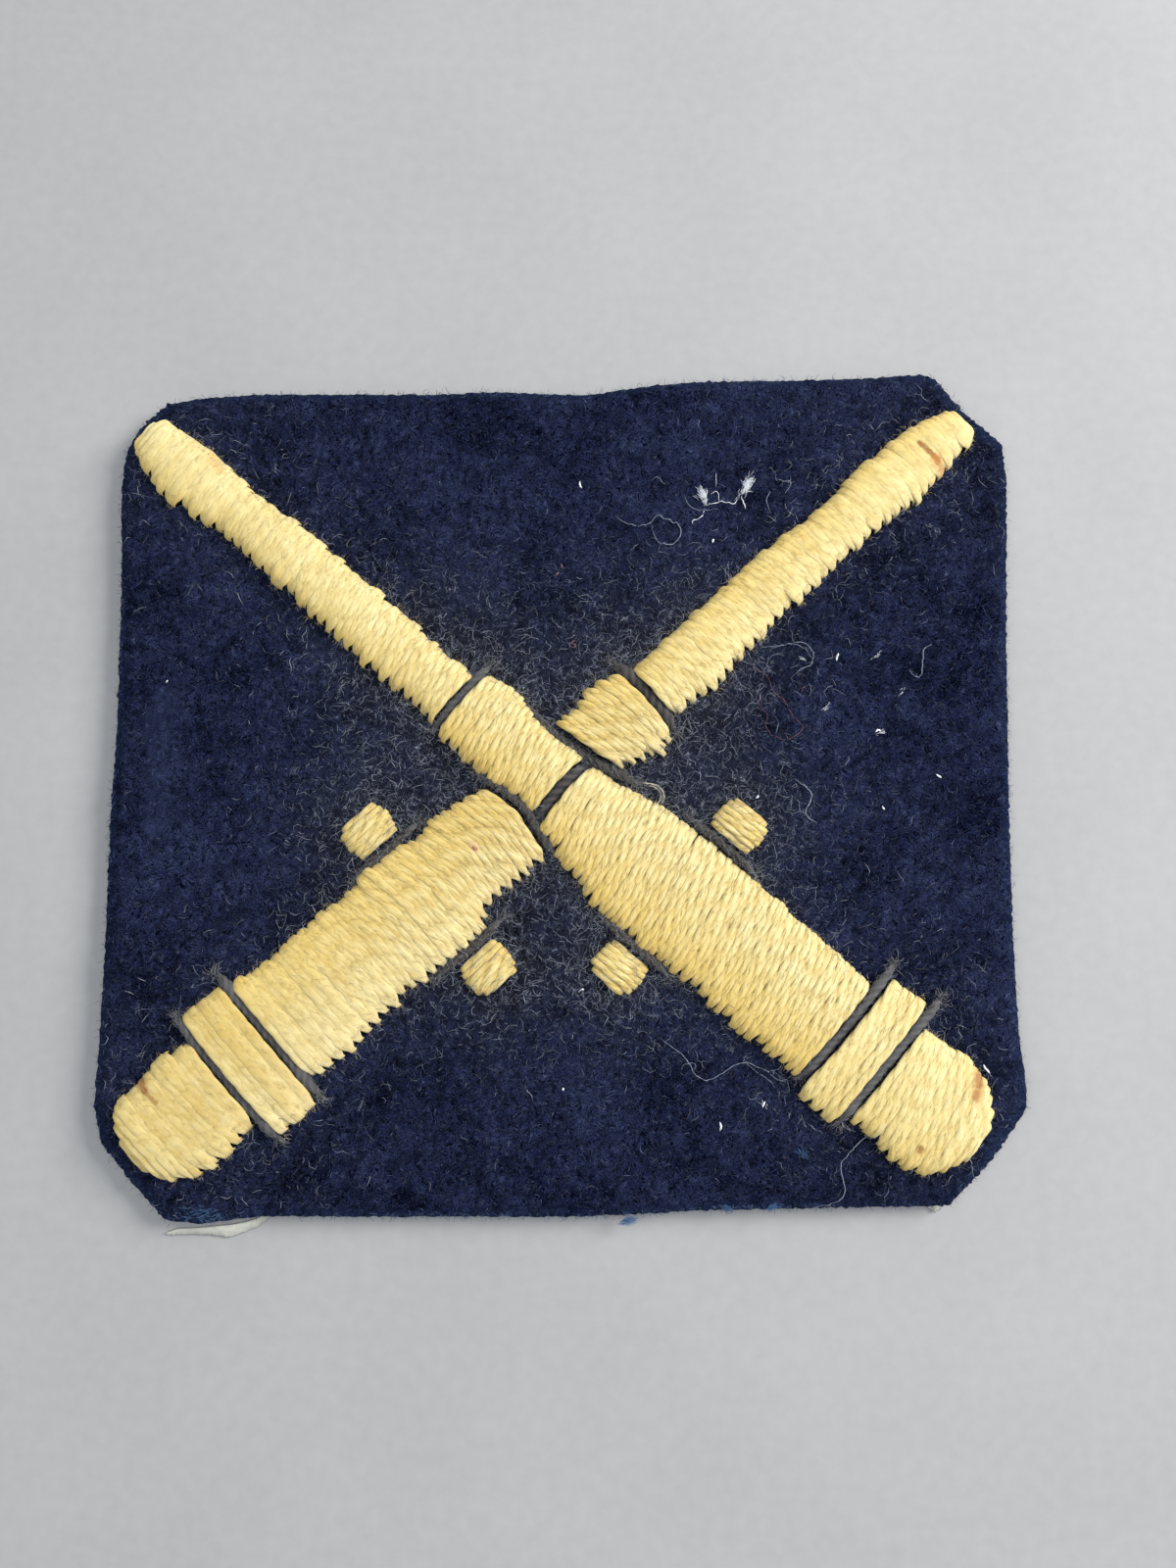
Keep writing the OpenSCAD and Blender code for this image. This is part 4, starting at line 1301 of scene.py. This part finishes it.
def paper_disc():
    """Rings of the cloth's outline at one inset, from the middle of the back to the face's."""
    angle = np.linspace(-np.pi, np.pi, DISC_AROUND, endpoint=False)
    edge = edge_radius(angle) - PAPER_INSET
    shares = np.array([0.02, 0.35, 0.7, 0.99, 1, 1, 0.99, 0.7, 0.35, 0.02])
    level = np.array([0, 0, 0, 0.02, 0.07, PAPER_T - 0.05, PAPER_T, PAPER_T, PAPER_T, PAPER_T])
    flat = np.stack([np.cos(angle), np.sin(angle)], -1) * edge[:, None]
    height = np.broadcast_to(level[:, None, None], (len(level), DISC_AROUND, 1))
    points = np.concatenate([shares[:, None, None] * flat[None], height], -1).reshape(-1, 3)
    return points, tube_faces(1, len(level), DISC_AROUND), {"torn": np.zeros(len(points))}


shells = [paper_disc(), paper_strip(TONGUE, "tongue", 0.03), paper_strip(SCRAP, "scrap", 0.05)]
paper = put_mesh("paper_backing_sheet", *join(shells), BACKING_PAPER)
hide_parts("paper_backing")

# %% [markdown]
# ## Nap, fuzz and lint
# What makes wool look like wool is the haze of single fibres over it: short curls of lighter
# blue-grey, thicker beside the stitches where the needle pulled them up, and a fringe along the
# cut edge. Hair systems don't reach an exported mesh, so each fibre is a thin three-sided tube.
# Thousands of them are one array.

# %% Fibre finishes
def fibre_finish(name, dark, light, sheen=0.0):
    """Single fibres: each has its own tone between two colours, with a fine mottle on it."""
    material, tree, shader, place = new_finish(name)
    mottle = use_group(tree, CLOUD, {"Vector": place, "Coarse": 900.0, "Fine": 3000.0})["Mask"]
    share = total(tree, (attribute(tree, "tone"), 0.8), (mottle, 0.2), clamp=True)
    wire(tree, shader, {"Base Color": blend(tree, share, (*dark, 1), (*light, 1)),
                        "Roughness": 0.6, "Sheen Weight": sheen})
    return material


NAP_FIBRE = fibre_finish("wool fibre", (0.003, 0.005, 0.020), (0.27, 0.35, 0.57))
DUSTY_FIBRE = fibre_finish("dusty wool fibre", (0.010, 0.011, 0.018), (0.50, 0.54, 0.65))
RIM_FIBRE = fibre_finish("cut edge fibre", (0.014, 0.024, 0.062), (0.12, 0.19, 0.36), 0.04)
CORD_FIBRE = fibre_finish("frayed cord fibre", (0.035, 0.034, 0.036), (0.38, 0.38, 0.40))
COTTON_FIBRE = fibre_finish("cotton fibre", (0.36, 0.25, 0.09), (0.84, 0.75, 0.48))
print("fibre finishes:", [finish.name for finish in (NAP_FIBRE, DUSTY_FIBRE, RIM_FIBRE, CORD_FIBRE,
                                                     COTTON_FIBRE)])

# %% Curled hairs
HAIR_AROUND = 3


def hairs(rng, start, heading, length, curl, base, lift, radius, rings=6, pale=(1.2, 3.6),
          waver=0.7, climb=0.0):
    """Thin curled tubes that lie on a surface.

    The heading turns by curl radians a mm, plus a drifting waver, and the place is the sum of
    equal steps along it. The height is that of the surface, plus climb times the way gone, plus a
    low hump, lift sin(pi s). Pale gives the two powers of the beta numbers for their tones."""
    count = len(start)
    s = np.linspace(0, 1, rings)
    step = (length / (rings - 1))[:, None]
    turn = heading[:, None] + curl[:, None] * length[:, None] * s
    turn = turn + waver * drift(rng, count, rings, 3)
    x = start[:, :1] + np.cumsum(np.cos(turn) * step, 1) - np.cos(turn) * step
    y = start[:, 1:2] + np.cumsum(np.sin(turn) * step, 1) - np.sin(turn) * step
    z = base[:, None] + lift[:, None] * np.sin(np.pi * np.clip(s, 0.02, 0.98))
    z = z + np.reshape(climb * length, (-1, 1)) * s
    round_it = circle(HAIR_AROUND)
    size = (radius[:, None] * (1 - 0.65 * np.abs(2 * s - 1) ** 3))[..., None]
    points, faces = sweep(np.stack([x, y, z], -1), size * np.cos(round_it), size * np.sin(round_it))
    return points, faces, {"tone": np.repeat(rng.beta(*pale, count), rings * HAIR_AROUND)}


# %% Nap on the face
# Places are thrown over a square of this half side in mm, nine for each fibre that is wanted, and
# a tuft gathers nine of them
THROWN_OVER = 37
THROWN_EACH = 9
PER_TUFT = 9
TUFT_SPREAD = 0.2


def inside_cloth(points, margin):
    """True where a point lies on the cloth, at least a margin in from its edge."""
    reach = edge_radius(np.arctan2(points[:, 1], points[:, 0]))
    return np.linalg.norm(points, axis=1) < reach - margin


def ground_height(points):
    """Height to lay fibres on: the cloth's face, or a pad's arch a little way in from its foot."""
    inside = np.clip(-gap_to_pads(points) / 4, 0, 1)
    arch = (1 - (1 - inside) ** ARCH_POWER) ** (1 / ARCH_POWER)
    return np.where(inside > 0, STITCH_Z + arch * (PAD_TOP - STITCH_Z), face_height(points))


def nap(name, count, beside_only, length, radius, lift, rings, pale, finish, tufts=0, over=0.12):
    """Fibres strewn over the face: places thrown over the square, kept on bare cloth and a little
    way over a pad's foot, and kept more often the nearer they are to it. Some gather in tufts."""
    rng = dice(name)
    thrown = rng.uniform(-THROWN_OVER, THROWN_OVER, (count * THROWN_EACH, 2))
    if tufts:
        gathered = tufts * PER_TUFT
        thrown[:gathered] = (np.repeat(thrown[:tufts], PER_TUFT, 0)
                             + rng.normal(0, TUFT_SPREAD, (gathered, 2)))
    thrown = thrown[inside_cloth(thrown, 0.5)]
    keep = gap_to_pads(thrown) > -over
    keep = keep & (rng.uniform(size=len(thrown)) < dustiness(thrown, beside_only))
    start = thrown[keep][:count]
    count = len(start)
    long = rng.uniform(*length, count)
    made = hairs(rng, start, rng.uniform(0, 2 * np.pi, count), long, rng.normal(0, 1.5, count),
                 ground_height(start) - 0.01, rng.uniform(0.2, 1, count) * lift,
                 rng.uniform(*radius, count), rings, pale, 0.45)
    piece = put_mesh(name, *made, finish)
    return piece


NAP_PIECES = [
    nap("nap_face", 9500, 900.0, (0.3, 1.0), (0.009, 0.017), 0.13, 3, (0.8, 3.6), NAP_FIBRE,
        tufts=300),
    nap("nap_beside_stitches", 8500, 2.8, (0.3, 1.6), (0.009, 0.016), 0.3, 4, (1.1, 1.6),
        DUSTY_FIBRE, over=0.4),
]

# %% Fringe of the cut edge
FRINGE = 4200
rng = dice("edge fringe")
angle = rng.uniform(-np.pi, np.pi, FRINGE)
out = np.stack([np.cos(angle), np.sin(angle)], -1)
start = out * (edge_radius(angle) - rng.uniform(0.0, 0.35, FRINGE))[:, None]
outward = angle + rng.normal(0, 0.75, FRINGE)
height = rng.uniform(0.6, 1.75, FRINGE)
made = hairs(rng, start, outward, rng.uniform(0.2, 0.75, FRINGE), rng.normal(0, 1.8, FRINGE),
             height, rng.uniform(-0.1, 0.12, FRINGE), rng.uniform(0.013, 0.024, FRINGE), 3)
fringe = put_mesh("edge_fringe", *made, RIM_FIBRE)

# %% Frayed ends and fluff of the cords
PER_END = 34
CORD_FLUFF = 3600
rng = dice("frayed ends")
# A cord frays at its third point from either end. Five points further in, the way out is read
ends = np.concatenate([np.stack([path[k] for path in CORD_PATHS]) for k in (2, -3)])
before = np.concatenate([np.stack([path[k] for path in CORD_PATHS]) for k in (7, -8)])
way = np.arctan2(ends[:, 1] - before[:, 1], ends[:, 0] - before[:, 0])
count = len(ends) * PER_END
start = np.repeat(ends[:, :2], PER_END, 0) + rng.normal(0, 0.2, (count, 2))
heading = np.repeat(way, PER_END) + rng.normal(0, 1.1, count)
frayed = hairs(rng, start, heading, rng.uniform(0.3, 1.3, count), rng.normal(0, 1.5, count),
               np.full(count, FACE_Z), rng.uniform(0.1, 0.4, count),
               rng.uniform(0.011, 0.021, count), 4, (1.3, 2.6))
# Fluff starts on the cord's round top, to one side of its middle line by a small chance
body = np.concatenate([path[4:-4] for path in CORD_PATHS])
ahead = np.concatenate([path[5:-3] - path[3:-5] for path in CORD_PATHS])
picked = rng.integers(0, len(body), CORD_FLUFF)
body, ahead = body[picked], np.arctan2(ahead[picked, 1], ahead[picked, 0])
off = rng.normal(0, 0.17, CORD_FLUFF)
start = body[:, :2] + off[:, None] * np.stack([-np.sin(ahead), np.cos(ahead)], -1)
skin = body[:, 2] + CORD_UP * np.sqrt(np.clip(1 - (off / CORD_SIDE) ** 2, 0.1, 1))
fluff = hairs(rng, start, ahead + rng.normal(0, 0.8, CORD_FLUFF),
              rng.uniform(0.2, 0.7, CORD_FLUFF), rng.normal(0, 2.0, CORD_FLUFF), skin,
              rng.uniform(-0.02, 0.08, CORD_FLUFF), rng.uniform(0.009, 0.015, CORD_FLUFF), 3,
              (1.3, 2.2))
put_mesh("frayed_cord_ends", *join([frayed, fluff]), CORD_FIBRE)

# %% Fluff of the cotton
COTTON_FLUFF = 4200
WHISKERS = 4400
rng = dice("cotton fluff")
backs = np.concatenate(CROWNS)
backs, ahead = backs[rng.integers(0, len(backs), COTTON_FLUFF)].transpose(1, 0, 2)
level = np.maximum(np.hypot(ahead[:, 0], ahead[:, 1]), 0.2)
start = backs[:, :2] + rng.normal(0, 0.12, (COTTON_FLUFF, 2))
heading = np.arctan2(ahead[:, 1], ahead[:, 0]) + rng.normal(0, 0.45, COTTON_FLUFF)
fluff = hairs(rng, start, heading, rng.uniform(0.2, 0.7, COTTON_FLUFF) * level,
              rng.normal(0, 1.2, COTTON_FLUFF), backs[:, 2] - 0.02,
              rng.uniform(0.0, 0.06, COTTON_FLUFF), rng.uniform(0.007, 0.013, COTTON_FLUFF), 3,
              (1.4, 1.4), 0.4, ahead[:, 2] / level)
ends = np.concatenate([rows.reshape(-1, 3) for rows in FEET])
outward = np.concatenate([(rows[:, 1] - rows[:, 0]).repeat(2, 0) for rows in FEET])
picked = rng.integers(0, len(ends), WHISKERS)
ends, outward = ends[picked], outward[picked]
start = ends[:, :2] + rng.normal(0, 0.12, (WHISKERS, 2))
heading = np.arctan2(outward[:, 1], outward[:, 0]) + rng.normal(0, 0.6, WHISKERS)
whiskers = hairs(rng, start, heading, rng.uniform(0.15, 0.55, WHISKERS),
                 rng.normal(0, 1.8, WHISKERS), ends[:, 2] + 0.1,
                 rng.uniform(0.0, 0.1, WHISKERS), rng.uniform(0.008, 0.014, WHISKERS), 3)
put_mesh("cotton_fluff", *join([fluff, whiskers]), COTTON_FIBRE)

# %% [markdown]
# ## Lint
# Old wool gathers lint: a curl of white hair, a looped maroon fibre, pale threads and white
# flecks. Each is a short listed route, smoothed and swept like the rest, and lies where the
# photograph has it.

# %% Lint routes
LINT_HAIR = fibre_finish("lint hair", (0.10, 0.12, 0.18), (0.30, 0.34, 0.43), 0.1)
LINT_WHITE = fibre_finish("white lint", (0.62, 0.66, 0.74), (0.92, 0.94, 0.98), 0.1)
LINT_PALE = fibre_finish("pale lint", (0.30, 0.29, 0.24), (0.55, 0.52, 0.42), 0.1)
LINT_MAROON = fibre_finish("maroon lint", (0.06, 0.018, 0.032), (0.17, 0.06, 0.085), 0.1)
LINT_BLUE = fibre_finish("blue tuft", (0.02, 0.05, 0.13), (0.09, 0.21, 0.43))
# Routes in mm on the patch: radius, height above the nap, then the points
HAIR_ROUTES = [
    (0.03, 0.2, [(4.25, 21.9), (4.65, 21.4), (5.45, 21.05), (6.25, 20.95), (6.95, 21.2),
                 (7.75, 21.8), (8.45, 21.55), (9.2, 21.05), (9.55, 20.5), (9.45, 19.9),
                 (8.95, 19.45), (8.35, 19.3), (7.75, 19.65), (7.35, 20.25), (7.15, 21.2)]),
    (0.035, 0.15, [(29.8, 11.1), (29.1, 10.6), (28.8, 9.75), (28.8, 8.85), (28.55, 8.35),
                   (28.1, 8.45), (27.85, 8.9)]),
    (0.025, 0.2, [(15.8, 10.75), (17.1, 10.8), (18.5, 11.1), (19.4, 11.1), (20.1, 10.4),
                  (19.9, 9.45), (19.1, 9.0), (18.4, 8.3)]),
    (0.02, 0.2, [(16.6, 10.6), (17.9, 11.1), (19.3, 10.8), (19.9, 10.2), (20.0, 9.3), (18.8, 8.9)]),
    (0.025, 0.2, [(7.4, -20.1), (9.1, -21.25), (9.9, -22.2), (10.2, -22.8), (11.3, -23.3),
                  (12.3, -22.9), (13.25, -22.25), (14.2, -22.0), (15.1, -22.4), (16.2, -22.7),
                  (17.2, -22.4)]),
    (0.018, 0.2, [(14.2, -22.0), (14.8, -22.7), (16.0, -23.4), (16.4, -24.0)]),
    (0.018, 0.2, [(15.6, -22.5), (16.6, -23.3), (17.4, -23.4), (17.5, -24.4)]),
    (0.018, 0.2, [(9.1, -22.6), (9.4, -22.1), (10.3, -22.1), (10.0, -22.9)]),
    (0.028, 0.3, [(24.7, -26.7), (23.9, -27.3), (23.0, -27.8), (21.8, -29.0), (21.2, -29.9),
                  (21.4, -31.0), (21.3, -32.1), (20.3, -32.7), (19.2, -32.9)]),
    (0.022, 0.25, [(30.7, -28.9), (31.4, -29.6), (31.6, -30.8)]),
    (0.02, 0.15, [(9.85, 23.6), (10.2, 22.8), (11.0, 22.3), (12.6, 22.3)]),
    (0.02, 0.15, [(7.1, 24.8), (7.75, 25.0), (8.4, 24.4)]),
    (0.022, 0.15, [(17.35, 25.4), (17.6, 24.8), (18.6, 24.8), (18.1, 23.7)]),
    (0.022, 0.15, [(16.9, 23.9), (16.6, 22.8), (16.9, 22.1)]),
    (0.04, 0.2, [(18.4, 0.1), (19.7, -1.2), (19.2, -2.6), (20.1, -3.5)]),
]
WHITE_ROUTES = [
    (0.03, 0.2, [(11.6, 22.6), (12.1, 22.9), (12.9, 22.95), (13.8, 22.7), (14.3, 23.2)]),
    (0.02, 0.3, [(11.9, 23.6), (12.5, 23.85), (12.65, 23.2), (12.7, 22.9)]),
    (0.03, 0.15, [(11.4, 22.3), (11.3, 21.7), (10.6, 21.4), (10.5, 21.0)]),
    (0.04, 0.15, [(14.6, 23.4), (14.65, 22.8), (14.8, 22.3)]),
    (0.016, 0.15, [(12.45, 25.5), (12.5, 24.3)]),
]
PALE_LOOP = [
    (0.035, 0.35, [(6.1, -0.3), (7.4, -0.5), (8.0, -1.35), (7.6, -2.2)]),
    (0.03, 0.3, [(6.3, -0.45), (7.3, -0.65), (7.8, -1.3), (7.5, -2.1)]),
    (0.025, 0.4, [(5.9, -0.2), (7.2, -0.35), (8.05, -1.0), (8.1, -1.9)]),
    (0.025, 0.3, [(6.5, -0.4), (7.55, -0.75), (7.95, -1.5), (7.3, -2.3)]),
]
MAROON_ROUTES = [
    (0.022, 0.25, [(15.1, 9.6), (15.3, 9.0), (16.05, 8.6), (16.45, 8.15), (16.65, 7.5),
                   (17.1, 6.8), (17.6, 6.55), (18.05, 5.8), (18.5, 5.0), (19.1, 4.45),
                   (19.05, 4.0), (18.5, 3.55), (17.6, 3.2), (16.7, 3.55), (16.25, 4.25),
                   (16.2, 5.2), (15.8, 5.85), (15.6, 6.6)]),
    (0.02, 0.2, [(19.1, 6.9), (19.25, 7.5), (19.7, 7.1)]),
]
# Flecks in mm: x, y, length, direction in degrees
WHITE_FLECKS = [(1.4, 24.4, 0.5, 110), (12.2, 19.7, 0.4, 80), (22.05, 10.0, 0.7, 70),
                (25.15, 3.9, 0.6, 20), (15.4, -1.45, 0.45, 40), (25.4, -2.25, 0.4, 100),
                (29.9, 0.25, 0.5, 150), (12.1, -26.9, 0.6, 95), (15.5, -25.2, 0.4, 60),
                (0.1, -24.05, 0.3, 90), (1.45, -16.55, 0.4, 10), (32.8, -22.5, 0.8, 135),
                (-32.0, 8.05, 0.35, 45)]
MAROON_FLECKS = [(0.6, 11.25, 0.6, 30), (-0.2, 17.55, 0.5, 120), (0.9, 10.9, 0.45, 80),
                 (-0.6, 16.9, 0.5, 50)]
# Bright blue tufts of the cut edge, and pale fluff: x, y, length, direction in degrees, fibres
BLUE_TUFTS = [(15.9, -32.95, 1.0, 20, 70), (12.9, -33.05, 0.9, 160, 60),
              (4.8, -33.95, 1.0, 10, 110), (-27.2, -33.5, 3.0, 176, 120),
              (18.6, -29.1, 0.9, 130, 26)]
FLUFF = [(11.45, 23.2, 1.0, 105, 230), (14.85, 24.05, 1.3, 60, 230), (20.9, 5.7, 0.5, 30, 9),
         (27.1, 6.9, 0.7, 70, 8), (15.6, -25.5, 0.5, 120, 9), (25.2, 3.8, 0.7, 20, 14),
         (25.1, 10.0, 0.7, 50, 8), (19.5, 9.8, 0.6, 160, 8)]

# %% Heaps and strands of lint
LINT_AROUND = 6
LINT_STEP = 0.12
FLECK_RADIUS = 0.08
FLECK_LIFT = 0.1


def fluff_balls(table, seed):
    """Fine fibres heaped along short lines: normal numbers around each line's points."""
    rng = dice(seed)
    rows = np.array(table)
    x, y, long, degrees = np.repeat(rows[:, :4], rows[:, 4].astype(int), 0).T
    turn = np.radians(degrees)
    along, across = rng.normal(0, 0.28, (2, len(x))) * [[1], [0.4]] * long
    start = np.stack([x + along * np.cos(turn) - across * np.sin(turn),
                      y + along * np.sin(turn) + across * np.cos(turn)], -1)
    return hairs(rng, start, turn + rng.normal(0, 0.3, len(x)), rng.uniform(0.25, 0.7, len(x)),
                 rng.normal(0, 0.5, len(x)), face_height(start) + rng.uniform(0, 0.12, len(x)),
                 rng.uniform(0.05, 0.2, len(x)), rng.uniform(0.010, 0.02, len(x)), 5,
                 (2.0, 2.2), 0.3)


def lint_shells(routes, flecks, seed):
    """Each route is one tube, thin at its ends. Each fleck is a short thick one."""
    rng = dice(seed)
    round_it = circle(LINT_AROUND)
    lines = [(radius, lift, np.array(route)) for radius, lift, route in routes]
    for x, y, long, degrees in flecks:
        half = 0.5 * long * np.array([np.cos(np.radians(degrees)), np.sin(np.radians(degrees))])
        route = np.array([x, y]) + np.stack([-half, 0 * half, half])
        lines.append((FLECK_RADIUS, FLECK_LIFT, route))
    shells = []
    for radius, lift, route in lines:
        route = smooth_route(route, LINT_STEP)
        count = len(route)
        s = np.linspace(0, 1, count)
        route = route + 0.05 * drift(rng, 2, count, max(count // 6, 2)).T
        ground = np.where(gap_to_pads(route) < 0, PAD_TOP, face_height(route)) + 0.02
        z = ground + lift * (0.6 + 0.3 * drift(rng, 1, count, 5)[0]) * np.sin(np.pi * s) ** 0.3
        path = np.concatenate([route, z[:, None]], 1)[None]
        size = (radius * (1 - 0.8 * np.abs(2 * s - 1) ** 4))[None, :, None]
        points, faces = sweep(path, size * np.cos(round_it), size * np.sin(round_it))
        tone = np.repeat(rng.uniform(0.3, 1, count), LINT_AROUND)
        shells.append((points, faces, {"tone": tone}))
    return join(shells)


def lay_lint(name, shell, finish):
    """Puts lint on the patch."""
    put_mesh(name, *shell, finish)


lay_lint("white_lint", join([lint_shells(WHITE_ROUTES, WHITE_FLECKS, "white"),
                             fluff_balls(FLUFF, "fluff balls")]), LINT_WHITE)
lay_lint("blue_tufts", fluff_balls(BLUE_TUFTS, "blue tufts"), LINT_BLUE)
lay_lint("hair_lint", lint_shells(HAIR_ROUTES, [], "hair"), LINT_HAIR)
lay_lint("maroon_lint", lint_shells(MAROON_ROUTES, MAROON_FLECKS, "maroon"), LINT_MAROON)
lay_lint("loose_cotton_loop", lint_shells(PALE_LOOP, [], "loop"), LINT_PALE)

# %% [markdown]

# %% [markdown]
# ## Floor
# The patch lies on a plain pale floor with the faintest tooth, so that its soft shadow shows.

# %% Pale floor
FLOOR_HALF = 900
FLOOR_Z = -0.03


def pale_floor():
    """Pale grey with a slight mottle."""
    material, tree, shader, place = new_finish("pale floor")
    tooth = use_group(tree, CLOUD, {"Vector": place, "Coarse": 60.0, "Fine": 900.0})["Mask"]
    colour = blend(tree, tooth, (0.34, 0.34, 0.345, 1), (0.37, 0.37, 0.375, 1))
    wire(tree, shader, {"Base Color": colour, "Roughness": 0.9})
    return material


corner = np.array([(-1, -1), (1, -1), (1, 1), (-1, 1)]) * FLOOR_HALF
floor_points = np.concatenate([corner, np.full((4, 1), FLOOR_Z)], 1)
floor = put_mesh("floor", floor_points, [np.array([[0, 1, 2, 3]])], {}, pale_floor(), body=None)
